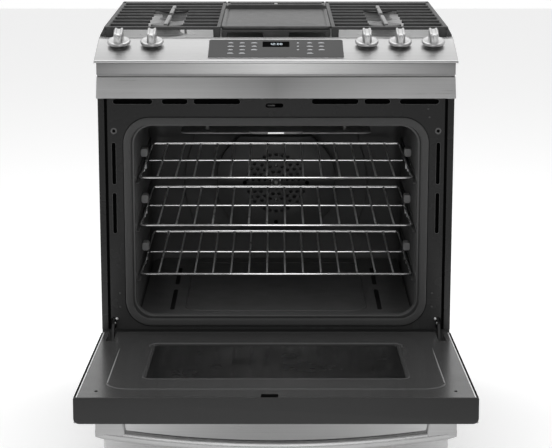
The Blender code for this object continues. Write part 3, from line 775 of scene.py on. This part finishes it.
def centre_grate():
    """The middle grate: low rails under the griddle, and full bars behind it."""
    bm = bmesh.new()
    spine = bmesh.new()
    half = CENTRE_HALF
    rest = GRIDDLE_LOW.z - 0.0003
    low = rest - 0.0062

    def run(x0, d0, x1, d1, width=0.0088, z0=UNDER, z1=TOP, into=bm):
        bar(into, (x0, d0), (x1, d1), width, z0, z1)

    for depth in (GRATE_FRONT + 0.004, 0.209, 0.404):
        run(-half + 0.001, depth, half - 0.001, depth, 0.008, low, rest)
    for depth in (0.4925, 0.5505):
        run(-half + 0.001, depth, half - 0.001, depth)
    run(-half, REAR_BAND, half, REAR_BAND, 0.034)
    run(0, 0.492, 0, 0.612, into=spine)
    for sign in (-1, 1):
        x = sign * (half - 0.0048)
        run(x, GRATE_FRONT + 0.001, x, 0.485, 0.0088, low, rest)
        run(x, 0.487, x, GRATE_REAR, 0.009, low)
        leg(bm, sign * (half - 0.007), GRATE_FRONT + 0.0045, 0.013, 0.0085, FOOT_Z, low + 0.001)
        leg(bm, sign * (half - 0.007), 0.615, 0.013, 0.01, FOOT_Z, UNDER + 0.002)
    leg(bm, 0, GRATE_FRONT + 0.0045, 0.06, 0.0085, FOOT_Z, low + 0.001)
    piece("grate_center_casting", bm, "iron", "grate_center", ["grate_center"], angle=40)
    # The spine takes the lighter iron copy: painted highlight.
    piece("grate_center_spine", spine, "painted_highlight_iron", "grate_center", angle=40)


def griddle():
    """A flat cast plate in a low rim, with a taller wall at the back."""
    bm = bmesh.new()
    half = GRIDDLE_HIGH.x
    front, back = depths("griddle")
    under = GRIDDLE_LOW.z
    rim = under + 0.0075
    top = GRIDDLE_HIGH.z
    rings = (
        (0.003, under), (0.001, under + 0.001), (0.0, under + 0.0025), (0.0, rim - 0.0014),
        (0.001, rim - 0.0003), (0.0024, rim), (0.0066, rim), (0.0082, rim - 0.001), (0.0094, rim - 0.0026),
        (0.0108, rim - 0.0026), (0.012, rim - 0.0012), (0.014, rim - 0.0008),
    )
    loops = []
    for inset, z in rings:
        radius = max(0.01 - inset * 0.6, 0.003)
        outline = rounded(-half + inset, half - inset, front + inset, back - inset, radius, 6)
        loops.append([level(u, v, z) for u, v in outline])
    loft(bm, loops)
    piece("griddle_casting", bm, "griddle", "griddle", ["griddle"], angle=45)
    base = rim - 0.003
    wall = [
        (back - 0.0088, base), (back - 0.008, top - 0.0016), (back - 0.0062, top - 0.0001),
        (back - 0.003, top - 0.0001), (back - 0.001, top - 0.0016), (back - 0.0002, base),
    ]
    stations = [(half - 0.001, 0.35), (half - 0.004, 0.8), (half - 0.01, 1.0)]
    stations = both_sides(stations)
    bm = bmesh.new()
    loft(bm, [[(x, FRONT_Y + u, base + (v - base) * share) for u, v in wall] for x, share in stations])
    # The back wall takes the darker grate iron, not the griddle's own: painted shade on its face.
    piece("griddle_back_wall_shaded", bm, "iron", "griddle", angle=45)


def round_burner(end, side):
    """An alloy head with a row of ports, its enamelled cap, the dish round it and the spark pin."""
    name = f"{end}_{side}"
    low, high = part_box(f"burner_head_{name}")
    centre = (low + high) / 2
    foot = Vector((centre.x, centre.y, low.z))
    tall = high.z - low.z
    bm = bmesh.new()
    profile = [
        *mm((12, 0), (35.5, 0), (35.8, 1.4), (33, 2.8), (29.4, 4.4)),
        (0.029, tall - 0.0016), (0.0282, tall - 0.0002), (0.012, tall - 0.0002),
    ]
    lathe(bm, profile, foot, segments=48)
    for c, s in circle(28):
        out = Vector((c, s, 0))
        start = foot + out * 0.0284 + Vector((0, 0, tall - 0.006))
        tube(bm, [start, start + out * 0.0018], 0.0018, 6)
    piece(f"burner_ring_{name}", bm, "alloy", "body", [f"burner_head_{name}"])
    cap = f"burner_cap_{name}"
    profile = mm(
        (10, 0.2), (35, 0.2), (36.8, 0.8), (37.5, 2), (37.3, 3.6), (36.2, 4.8), (33.5, 5.5), (24, 5.8),
        (8, 5.9),
    )
    spot = (centre.x, centre.y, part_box(cap)[0].z)
    turned(f"burner_lid_{name}", "cap", profile, [spot], segments=56, body=cap, replaced=[cap])
    floor = low.z - 0.0003
    profile = mm((36.5, 0.2), (54, 0.2), (57, 0.6), (59, 1), (61, 0.8), (62.5, 0.2), (36.5, 0.1))
    turned(f"burner_dish_{name}", "pan", profile, [(centre.x, centre.y, floor)], segments=64)
    tip = (centre.x - 0.0405 * math.copysign(1, centre.x), centre.y + 0.012, floor)
    profile = mm((2.8, 0), (2.8, 10), (1.6, 12.5), (1, 15))
    turned(f"spark_{name}", "lamp", profile, [tip], segments=12)


def oval_burner():
    head = mm((0, 0), (0, 1.5), (3.5, 3), (3.5, 8.6), (4.5, 9.1))
    cap = mm((3, 0.2), (0.8, 0.8), (0, 2.4), (0.6, 4.2), (2.8, 5.5), (9, 6.1))
    for name, node, rings, look, rides_on in (
        ("burner_ring_center", "burner_head_center", head, "alloy", "body"),
        ("burner_lid_center", "burner_cap_center", cap, "cap", "burner_cap_center"),
    ):
        low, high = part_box(node)
        bm = bmesh.new()
        rings = [(inset, low.z + rise) for inset, rise in rings]
        stack(bm, level, (low.x, high.x, *depths(node)), high.x - 0.0002, rings, 10)
        piece(name, bm, look, rides_on, [node])


# Oven front

def slot(bm, x0, x1, z0, z1):
    """A cutter for a slot with round ends."""
    radius = min(abs(x1 - x0), z1 - z0) / 2 - 0.00001
    extrude(bm, rounded(x0, x1, z0, z1, radius, 6), facing, -0.01, 0.01)


def oven_front():
    """The enamelled frame with its slots, the seal round the mouth and the small fittings."""
    low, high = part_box("oven_front_frame")
    bm = bmesh.new()
    depth_box(bm, low.x, high.x, 0.0, 0.004, low.z, high.z)
    cut = bmesh.new()
    extrude(cut, rounded(-MOUTH_HALF, MOUTH_HALF, *MOUTH_Z, MOUTH_RADIUS, 12), facing, -0.01, 0.01)
    slot(cut, -0.022, 0.0155, 0.7995, 0.8085)
    dark = bmesh.new()
    rim_highlights = []
    for sign in (-1, 1):
        for x0, x1, z0, z1 in FRONT_SLOTS:
            slot(cut, sign * x0, sign * x1, z0, z1)
        depth_box(cut, sign * GROOVE[0], sign * GROOVE[1], -0.01, 0.0022, low.z - 0.01, high.z + 0.01)
        inner, outer = sign * (GROOVE[0] + 0.0001), sign * (GROOVE[1] - 0.0001)
        # A near-black strip down each groove: painted shade.
        depth_box(dark, inner, outer, 0.0012, 0.0021, low.z + 0.0005, high.z - 0.0005)
        # Thin rings of the lighter rim enamel round the slots: painted highlight.
        for x0, x1, z0, z1 in FRONT_SLOTS[:5]:
            radius = min(x1 - x0, z1 - z0) / 2
            gap = 0.0002
            outline = rounded(sign * (x0 - gap), sign * (x1 + gap), z0 - gap, z1 + gap, radius, 6)
            rim_highlights.append([facing(u, v, 0.0002) for u, v in outline])
        # Near-black sheets behind the top and side slots: painted shade inside the body.
        depth_box(dark, sign * 0.07, sign * 0.356, 0.006, 0.007, 0.8, 0.8205)
        depth_box(dark, sign * 0.339, sign * 0.355, 0.006, 0.007, 0.51, 0.73)
    piece("front_frame_plate", bm, "frame", "body", ["oven_front_frame"], bevel=0.0006, angle=50, cut=cut)
    piece("front_frame_shade_strips", dark, "dark", smooth=False)
    wired("slot_rim_highlights", "rim", rim_highlights, 0.0005, 6, closed=True)
    seal()
    lip = bmesh.new()
    rings = mm((-2.5, -0.2), (-0.3, -0.8), (0.9, 0.2), (1.7, 3), (1.7, 12), (0.1, 12))
    stack(lip, facing, (-MOUTH_HALF, MOUTH_HALF, *MOUTH_Z), MOUTH_RADIUS, rings, 14, closed=True)
    piece("mouth_lip", lip, "rim", angle=60)
    screws()
    dress("door_latch", "hinge", 0.0004)
    for side, _ in SIDES:
        dress(f"hinge_arm_{side}", "hinge", 0.0008)


def seal():
    """A soft flat band round the mouth, with a painted shadow line where it meets the frame."""
    half = (SEAL_HIGH.x + 0.309) / 2
    low, high = (SEAL_LOW.z + 0.3365) / 2, (SEAL_HIGH.z + 0.7645) / 2
    outline = rounded(-half, half, low, high, 0.0485, 14)
    band = mm((-8, -0.3), (-7.8, -1.2), (-6, -2.1), (-3, -2.5))
    band += [(-s, d) for s, d in reversed(band)]
    # A near-black strip just outside the band: painted shadow.
    shadow = mm((7.8, -0.3), (7.8, -0.8), (9.3, -0.8), (9.3, -0.3))
    count = len(outline)
    for name, section, look in (("seal_band", band, "seal"), ("seal_edge_shadow", shadow, "dark")):
        bm = bmesh.new()
        loops = []
        for i, (u, v) in enumerate(outline):
            ahead = Vector(outline[(i + 1) % count]) - Vector(outline[i - 1])
            out = Vector((ahead.y, -ahead.x)).normalized()
            loops.append([facing(u + out.x * s, v + out.y * s, d) for s, d in section])
        loft(bm, loops, closed=True)
        piece(name, bm, look, "body", ["door_gasket"] if look == "seal" else (), angle=60)


def screws():
    """Small screws of the frame and the hinges, and the two bosses high on its sides, each with a dark disc
    of painted shade for its hole.
    """

    def mirrored(*spots):
        return [(sign * x, FRONT_Y, z) for sign in (-1, 1) for x, z in spots]

    bm = bmesh.new()
    pairs = mirrored((0.03, 0.8195), (0.069, 0.8195), (0.339, 0.391), (0.339, 0.36))
    single = [(0.324, FRONT_Y, 0.797), (0.327, FRONT_Y, 0.779)]
    head = [(0.3, -0.0002), (1, -0.0002), (1, 0.0006), (0.85, 0.0012), (0.3, 0.0015)]
    for spots, radius in ((pairs, 0.0022), (single, 0.002)):
        for spot in spots:
            lathe(bm, [(radius * share, out) for share, out in head], spot, TOWARD, 20)
    piece("frame_screws", bm, "rim")
    ring = mm((3, -0.2), (7, -0.2), (6.7, 0.8), (5.2, 1.4), (3.8, 0.9), (3.4, 0))
    turned("frame_bosses", "boss", ring, mirrored((0.346, 0.749)), TOWARD, 28)
    # A near-black disc in each boss: painted shade of its hole.
    hole = mm((1, -0.2), (3.6, -0.2), (3.4, 0.4), (1, 0.3))
    turned("boss_hole_shade", "dark", hole, mirrored((0.346, 0.749)), TOWARD, 24)
    rivet = mm((1, 0), (3, 0), (2.8, 2.4), (1, 3.2))
    turned("hinge_rivets", "wire", rivet, mirrored((0.352, 0.3235), (0.347, 0.333)), TOWARD, 14)


# Cavity

def cavity():
    """The enamelled box of the oven, with round edges, rack guides and its fittings."""
    bm = bmesh.new()
    sheet = 0.001
    half = LINER_HIGH.x - sheet
    back = depths("oven_liner")[1] - sheet
    rings = (
        (0, 0.0046), (0, back - 0.03), (0.0023, back - 0.0185), (0.0088, back - 0.0088),
        (0.0185, back - 0.0023), (0.03, back),
    )
    limits = (-half, half, LINER_LOW.z + sheet, LINER_HIGH.z - sheet)
    stack(bm, facing, limits, 0.032, rings, caps=False, shrink=0.5)
    bm.verts.ensure_lookup_table()
    bm.faces.new(bm.verts[-len(bm.verts) // len(rings):])
    made = piece("cavity_shell", bm, "liner", "body", ["oven_liner"], angle=60)
    thick = made.modifiers.new("sheet", "SOLIDIFY")
    thick.thickness = sheet * 0.9
    thick.offset = 1.0
    guides()
    back_wall()
    oven_floor()
    burners_inside()


def guides():
    """Pressed rack guides on both walls, with the ribs and brackets that stiffen them."""
    for side, sign in SIDES:
        bm = bmesh.new()
        ribs = []
        pads = bmesh.new()

        def out(u, v, w):
            return (sign * u, FRONT_Y + w, v)

        for name in RACKS:
            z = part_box(f"rack_{name}")[0].z + RACK_CENTRE
            under = [
                (WALL, z - 0.0085), (0.2985, z - 0.0075), (0.2975, z - 0.006), (0.298, z - 0.0052),
                (WALL, z - 0.005),
            ]
            over = [
                (WALL, z + 0.0062), (0.3022, z + 0.0066), (0.3017, z + 0.008), (0.3022, z + 0.0088),
                (WALL, z + 0.009),
            ]
            extrude(bm, under, out, 0.04, 0.498)
            extrude(bm, over, out, 0.12, 0.498)
            for depth, low, high in ((0.256, -0.024, -0.008), (0.312, -0.029, -0.012)):
                ribs.append([out(WALL - 0.0016, z + h, depth) for h in (low, high)])
            extrude(pads, rounded(0.2895, WALL, z + 0.0215, z + 0.04, 0.0045, 4), out, 0.196, 0.222)
        piece(f"rack_guides_{side}", bm, "liner", bevel=0.0006)
        wired(f"guide_ribs_{side}", "wire", ribs, 0.0034)
        piece(f"guide_pads_{side}", pads, "pad", bevel=0.001)


def back_wall():
    """Pressed panel lines on the back wall and the perforated fan cover."""
    back = depths("oven_liner")[1] - 0.0018
    front = depths("fan_cover")[0]
    centre = (FAN_LOW.z + FAN_HIGH.z) / 2
    half = [(0.197, 0.668), (0.202, 0.625), (0.214, 0.59), (0.222, 0.555)]
    path = half + [(0.222, 0.5), (0.214, 0.465), (0.202, 0.43), (0.197, 0.395)]
    paths = [[facing(sign * x, z, back) for x, z in path] for sign in (-1, 1)]
    wired("back_wall_bead", "liner", paths, 0.0022, angle=60)
    bm = bmesh.new()
    shape = mm((-87, 114.5), (-104, 100), (-122, 80), (-136, 58), (-143, 34), (-143, 0))
    outline = shape + [(x, -z) for x, z in reversed(shape[:-1])]
    outline += [(-x, z) for x, z in reversed(outline)]
    rings = ((1.0, back - 0.0002), (0.998, front + 0.002), (0.99, front + 0.0004), (0.982, front))
    loft(bm, [[facing(x * scale, centre + z * scale, depth) for x, z in outline] for scale, depth in rings])
    drill = bmesh.new()
    for ring, count in ((0.0, 1), (0.014, 6), (0.028, 12), (0.042, 18), (0.056, 24), (0.07, 30)):
        for c, s in circle(count, 0.5):
            at = facing(ring * c, centre + ring * s, front + 0.02)
            lathe(drill, [(0.0046, 0), (0.0046, 0.03)], at, TOWARD, 10)
    piece("fan_cover_pressed", bm, "liner", "body", ["fan_cover"], angle=50, cut=drill)
    dress("fan_wheel", "zinc")
    bolt = mm((1, 0), (4.8, 0), (4.4, 2.2), (1, 2.8))
    places = mm((-75.7, 0), (75.7, 0), (0, 98), (0, -98))
    turned("fan_cover_screws", "dark", bolt, [facing(x, centre + z, front) for x, z in places], TOWARD, 16)


def oven_floor():
    """The lift-out floor sheet with finger slots and a pressed bead."""
    low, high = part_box("oven_floor")
    half, top = high.x, high.z
    front, back = depths("oven_floor")
    sheet = 0.0012
    bm = bmesh.new()
    outer = [(half, low.z), (half, top - 0.003), (half - 0.001, top - 0.0008), (half - 0.003, top)]
    inner = [(half - sheet, low.z), (half - sheet, top - 0.0035), (half - 0.0035, top - sheet)]
    section = both_sides(outer) + inner + [(-x, z) for x, z in inner[::-1]]
    extrude(bm, section, facing, front, back)
    cut = bmesh.new()
    for x in (-0.23, 0.23):
        for start, end in ((0.06, 0.226), (0.27, 0.42)):
            outline = rounded(x - 0.005, x + 0.005, start, end, 0.0048, 6)
            extrude(cut, outline, level, top - 0.01, top + 0.01)
    piece("oven_floor_sheet", bm, "liner", "body", ["oven_floor"], bevel=0.0004, angle=50, cut=cut)
    outline = rounded(-0.2, 0.2, front + 0.04, back - 0.04, 0.03)
    path = [level(u, v, top - 0.0008) for u, v in outline]
    wired("oven_floor_bead", "liner", [path], 0.0026, closed=True, angle=60)


def burners_inside():
    """The broil burner under the roof, the bake burner's finish and the oven lamp."""
    low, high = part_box("broil_burner")
    bm = bmesh.new()
    loops = []
    for inset, rise in mm((10, 0), (0, 1.5), (0, 4), (6, 5)):
        outline = rounded(-high.x + inset, high.x - inset, 0.21 + inset * 0.5, 0.3 - inset * 0.5, 0.018, 6)
        loops.append([level(u, v, low.z + rise) for u, v in outline])
    loft(bm, loops)
    tube(bm, [level(0, depth, low.z + 0.012) for depth in (0.296, 0.4, high.y - FRONT_Y)], 0.0062, 14)
    extrude(bm, rounded(-0.06, 0.06, 0.191, 0.329, 0.014, 5), level, low.z + 0.0042, low.z + 0.009)
    for x in (-0.156, 0.156):
        tube(bm, [level(x, 0.246, z) for z in (low.z + 0.004, high.z)], 0.0045, 10)
    piece("broil_burner_pressed", bm, "alloy", "body", ["broil_burner"])
    tag = bmesh.new()
    depth_box(tag, -0.0185, 0.0185, 0.1905, 0.1925, low.z + 0.0042, low.z + 0.0088)
    piece("broil_bracket", tag, "bright", bevel=0.0005)
    dress("bake_burner", "zinc", 0.001)
    low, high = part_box("oven_light")
    centre = (low + high) / 2
    seat = (centre.x, high.y, centre.z)
    dome = mm((6, 0), (18.5, 0.2), (19, 10), (17, 15.5), (11, 19), (4, 20.5))
    ring = mm((19.2, 0), (24, 0), (24, 4), (22.5, 5.6), (20, 5.6), (19.2, 4.8))
    turned("lamp_dome", "lamp", dome, [seat], TOWARD, 32, replaced=["oven_light"])
    turned("lamp_ring", "bright", ring, [seat], TOWARD, 32)


def rack(name):
    """Chrome wires: a frame, one cross wire under the long wires, and a low stop at the back."""
    low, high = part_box(f"rack_{name}")
    half = high.x
    front, rear = low.y - FRONT_Y, high.y - FRONT_Y
    z = low.z + RACK_CENTRE
    middle = 0.29
    wire, fine, bend = 0.0031, 0.0021, 0.008
    bm = bmesh.new()
    outline = rounded(-half + wire, half - wire, front + wire, rear - wire, bend, 4)
    tube(bm, [level(x, d, z) for x, d in outline], wire, 12, closed=True)
    tube(bm, [level(-0.2925, middle, z - 0.005), level(0.2925, middle, z - 0.005)], wire, 12)
    path = [(-half + 0.004, z), (-half + 0.012, z + 0.0024), (half - 0.012, z + 0.0024), (half - 0.004, z)]
    tube(bm, [level(x, rear - 0.0034, h) for x, h in path], wire, 10)
    piece(f"rack_{name}_frame", bm, "chrome", f"rack_{name}", [f"rack_{name}"], angle=60)
    path = [(front + 0.0042, z - 0.0006), (front + 0.01, z + 0.0003), (rear - 0.004, z + 0.0003)]
    places = [LONG_WIRE_PITCH * (n - (LONG_WIRES - 1) / 2) for n in range(LONG_WIRES)]
    paths = [[level(x, d, h) for d, h in path] for x in places]
    wired(f"rack_{name}_long_wires", "wire", paths, fine, body=f"rack_{name}", angle=60)


# Door

def door():
    liner()
    dress("door_outer_panel", "door_steel", 0.0006)
    dress("door_outer_glass", "window")
    dress("door_inner_glass", "window")
    edge_trim()
    handle()


def liner():
    """The pressed inner panel with its sunk window and embossed bead."""
    dress("door_liner", "door_enamel", 0.0006)
    low, high = WINDOW_Z
    rings = mm((-7, 0), (-6.2, 0.5), (-5, 0.4), (0.6, -1.6), (0.6, -2.2), (-6, -0.6))
    rings = [(inset, DOOR_BACK + depth) for inset, depth in rings]
    bm = bmesh.new()
    stack(bm, facing, (-WINDOW_HALF, WINDOW_HALF, low, high), 0.011, rings, closed=True)
    piece("window_bezel", bm, "door_enamel", "door", angle=60)
    half = WINDOW_HALF + 0.01
    path = [(half, low + 0.03), (half, low + 0.004), (half - 0.01, low - 0.008)]
    path = both_sides(path)
    path = [facing(u, v, DOOR_BACK - 0.001) for u, v in path]
    wired("window_bead", "rim", [path], 0.003, body="door", angle=60)
    half, top, foot, radius = 0.324, 0.7515, 0.42, 0.045
    path = [(-half, foot)]
    for start, cx in ((180, -half + radius), (90, half - radius)):
        path += arc(cx, top - radius, radius, start, -90, 10)
    path.append((half, foot))
    path = [facing(u, v, DOOR_BACK - 0.0022) for u, v in path]
    wired("liner_bead", "door_enamel", [path], 0.0034, body="door", angle=60)
    # Near-black patches on the liner at the latch slot and two holes: painted shade.
    bm = bmesh.new()
    depth_box(bm, -0.028, 0.004, DOOR_BACK - 0.0004, DOOR_BACK + 0.0004, 0.79, 0.812)
    hole = mm((1, 0), (3.2, 0), (3, 0.6), (1, 1))
    for x in (-0.34, 0.34):
        lathe(bm, hole, facing(x, 0.7675, DOOR_BACK), AWAY, 16)
    piece("latch_slot_shade", bm, "dark", "door")


def edge_trim():
    """The painted end cap along the door's top edge, and the hemmed edges down its sides."""
    bm = bmesh.new()
    loops = []
    for inset, z in mm((0, -5.2), (0, -1.2), (0.8, -0.3), (2, 0)):
        half = DOOR_HALF - inset
        back, face = DOOR_BACK - inset, DOOR_FACE + inset
        radius = 0.011 - inset
        points = [(half, back - 0.0015), (half - 0.0015, back)]
        points += [(-u, v) for u, v in reversed(points)]
        for cx, turn in ((-half + radius, 180), (half - radius, 270)):
            points += arc(cx, face + radius, radius, turn, 90, 6)
        loops.append([level(u, v, DOOR_TOP + z) for u, v in points])
    loft(bm, loops)
    piece("door_end_cap", bm, "edge", "door", ["door_edge_trim"], angle=40)
    hems = []
    strips = bmesh.new()
    low, high = DOOR_BOTTOM + 0.012, DOOR_TOP - 0.006
    for sign in (-1, 1):
        x = sign * (DOOR_HALF - 0.0058)
        hems.append([facing(x, z, DOOR_BACK - 0.0012) for z in (low, high)])
        inner, outer = sign * (DOOR_HALF - 0.0038), sign * (DOOR_HALF - 0.0003)
        depth_box(strips, inner, outer, DOOR_BACK - 0.006, DOOR_BACK - 0.0002, low, high)
    wired("door_side_hems", "wire", hems, 0.0017, 10, body="door")
    piece("door_side_strips", strips, "dark", "door", bevel=0.0004)


def handle():
    """A bowed bar of flattened round section on two broad posts."""
    bm = bmesh.new()
    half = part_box("door_handle")[1].x
    deep, tall = 0.011, 0.0125
    stations = 40
    loops = []
    for n in range(stations + 1):
        x = half * (2 * n / stations - 1)
        out = HANDLE_END + (HANDLE_BOW - HANDLE_END) * (1 - (x / half) ** 2)
        shrink = 1.0 if 0 < n < stations else 0.8
        ring = []
        for c, s in circle(20):
            up = tall * shrink * math.copysign(abs(c) ** 0.7, c)
            away = deep * shrink * math.copysign(abs(s) ** 0.8, s)
            ring.append(facing(x, HANDLE_Z + up, DOOR_FACE - out + deep + away))
        loops.append(ring)
    loft(bm, loops)
    piece("handle_bar", bm, "handle", "door", ["door_handle"], angle=50)
    bm = bmesh.new()
    for sign in (-1, 1):
        posts = []
        for out, inner, high in (
            (0.0004, 0.292, 0.0262), (0.004, 0.291, 0.0254), (0.03, 0.286, 0.025), (0.036, 0.287, 0.0244),
        ):
            bottom, top = HANDLE_Z - high / 2, HANDLE_Z + high / 2
            outline = rounded(sign * inner, sign * 0.3428, bottom, top, 0.004, 5)
            posts.append([facing(u, v, DOOR_FACE - out) for u, v in outline])
        loft(bm, posts)
    piece("handle_posts", bm, "post", "door", angle=50)


# Drawer and body

def drawer():
    """A steel front with rolled side edges, over the plain sheet box."""
    low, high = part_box("drawer_front")
    half = high.x
    face = low.y - FRONT_Y
    roll = 0.006
    right = [(half, -0.0004), *arc(half - roll, face + roll, roll, 0, -90)]
    skin = [*right, *[(-x, d) for x, d in reversed(right)]]
    inner = [(x * 0.996, min(d + 0.0015, -0.0004)) for x, d in reversed(skin)]
    edges = (
        (low.z + 0.0004, 0.0012), (low.z + 0.002, 0), (high.z - 0.003, 0), (high.z - 0.0006, 0.0012),
    )
    bm = bmesh.new()
    loft(bm, [[level(x, d + inset, z) for x, d in skin + inner] for z, inset in edges])
    piece("drawer_skin", bm, "drawer_steel", "drawer", ["drawer_front"], angle=40)
    bm = bmesh.new()
    for z in (high.z - 0.0026, low.z + 0.001):
        depth_box(bm, -half + 0.004, half - 0.004, face + 0.0022, -0.001, z, z + 0.0016)
    piece("drawer_flanges", bm, "drawer_steel", "drawer", bevel=0.0004)
    dress("drawer_box", "zinc", 0.0005)


def body():
    """Finishes of the outer sheets, the louvres and screws on the back, and the legs."""
    dress("side_panel_left", "side", 0.0005)
    dress("side_panel_right", "side", 0.0005)
    dress("rear_panel", "zinc", 0.0005)
    dress("base_frame", "edge", 0.0005)
    dress("cooktop_pan", "pan", 0.0012)
    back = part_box("rear_panel")[1].y
    bm = bmesh.new()
    section = mm((-0.5, 0), (5, 0), (5.6, 1), (3, 10), (-0.5, 13))
    for row in range(7):
        z = 0.64 + 0.024 * row
        for x in (-0.19, 0.19):
            stations = ((x - 0.066, 0.15), (x - 0.06, 1.0), (x + 0.06, 1.0), (x + 0.066, 0.15))
            loft(bm, [[(u, back + out * share, z + h) for out, h in section] for u, share in stations])
    piece("rear_louvres", bm, "zinc", angle=40)
    head = mm((1, -0.2), (4.2, -0.2), (4.2, 1), (3, 2), (1, 2.2))
    spots = [(x, back, z) for x in (-0.355, -0.12, 0.12, 0.355) for z in (0.06, 0.3, 0.56, 0.87)]
    turned("rear_screws", "bright", head, spots, AWAY, 16)
    for end in ENDS:
        for side, _ in SIDES:
            dress(f"leveling_leg_{end}_{side}", "rubber")
    for n in KNOBS:
        dress(f"valve_stem_{n}", "zinc")


# Studio

def room(tree):
    """The surroundings: white to look at, and dim in front of the range for light and reflections."""
    place = add_node(tree, "TexCoord").outputs["Generated"]
    axes = add_node(tree, "SeparateXYZ", Vector=place).outputs
    behind = ranged(tree, axes["Y"], 0.22, 0.9, -0.45, 0.25)
    above = ranged(tree, axes["Z"], 0.0, 0.3, 0.75, 0.97)
    both = add_node(tree, "Math", "ADD", Value=behind)
    tree.links.new(above, both.inputs[1])
    seen = add_node(tree, "LightPath").outputs["Is Camera Ray"]
    shown = add_node(tree, "Math", "MAXIMUM", Value=both.outputs[0])
    tree.links.new(seen, shown.inputs[1])
    put(tree, tree.nodes["Background"].inputs, Color=grey(1.0), Strength=shown.outputs[0])


def studio():
    """A pale floor, a soft room that is brighter above and behind, and soft lamps."""
    floor = bmesh.new()
    half = 9.0
    corners = ((-half, -half), (half, -half), (half, half), (-half, half))
    floor.faces.new([floor.verts.new((x, y, 0)) for x, y in corners])
    ground = mesh_of("studio_floor", floor)
    white = Look("studio_white", grey(0.93), 0.9, Specular_IOR_Level=0.1)
    white.put(Emission_Color=grey(1.0), Emission_Strength=0.22)
    ground.data.materials.append(white.made)
    world = bpy.data.worlds.new("studio_world")
    world.use_nodes = True
    room(world.node_tree)
    bpy.context.scene.world = world
    for name, at, size, power in (
        ("key", (-2.4, -1.0, 3.2), (2.0, 2.0), 22),
        ("fill", (2.4, -0.8, 3.0), (2.0, 2.0), 18),
        ("top", (0, 0.8, 3.4), (2.6, 2.6), 30),
        ("strip", (0, -2.6, 1.65), (0.68, 2.6), 11),
    ):
        lamp = bpy.data.lights.new(name, "AREA")
        lamp.shape = "RECTANGLE"
        lamp.size, lamp.size_y = size
        lamp.energy = power
        light = bpy.data.objects.new(name, lamp)
        light.location = at
        light.visible_camera = False
        light.rotation_euler = (Vector((0, 0, 0.6)) - Vector(at)).to_track_quat("-Z", "Y").to_euler()
        bpy.context.collection.objects.link(light)


def camera():
    view = bpy.data.cameras.new("camera")
    view.lens = 114.9
    view.sensor_width = 36.0
    view.shift_y = -0.09
    made = bpy.data.objects.new("camera", view)
    made.location = (0.0, FRONT_Y - 3.699, 1.424)
    made.rotation_euler = (math.radians(90 - 11.75), 0, 0)
    bpy.context.collection.objects.link(made)
    bpy.context.scene.camera = made


control_panel()
control_glass()
for number in KNOBS:
    knob(number)
front_trims()
for side, sign in SIDES:
    side_grate(side, sign)
    for end in ENDS:
        round_burner(end, side)
centre_grate()
griddle()
oval_burner()
oven_front()
cavity()
for name in RACKS:
    rack(name)
door()
drawer()
body()
studio()
camera()
bpy.context.scene.view_settings.view_transform = "Standard"
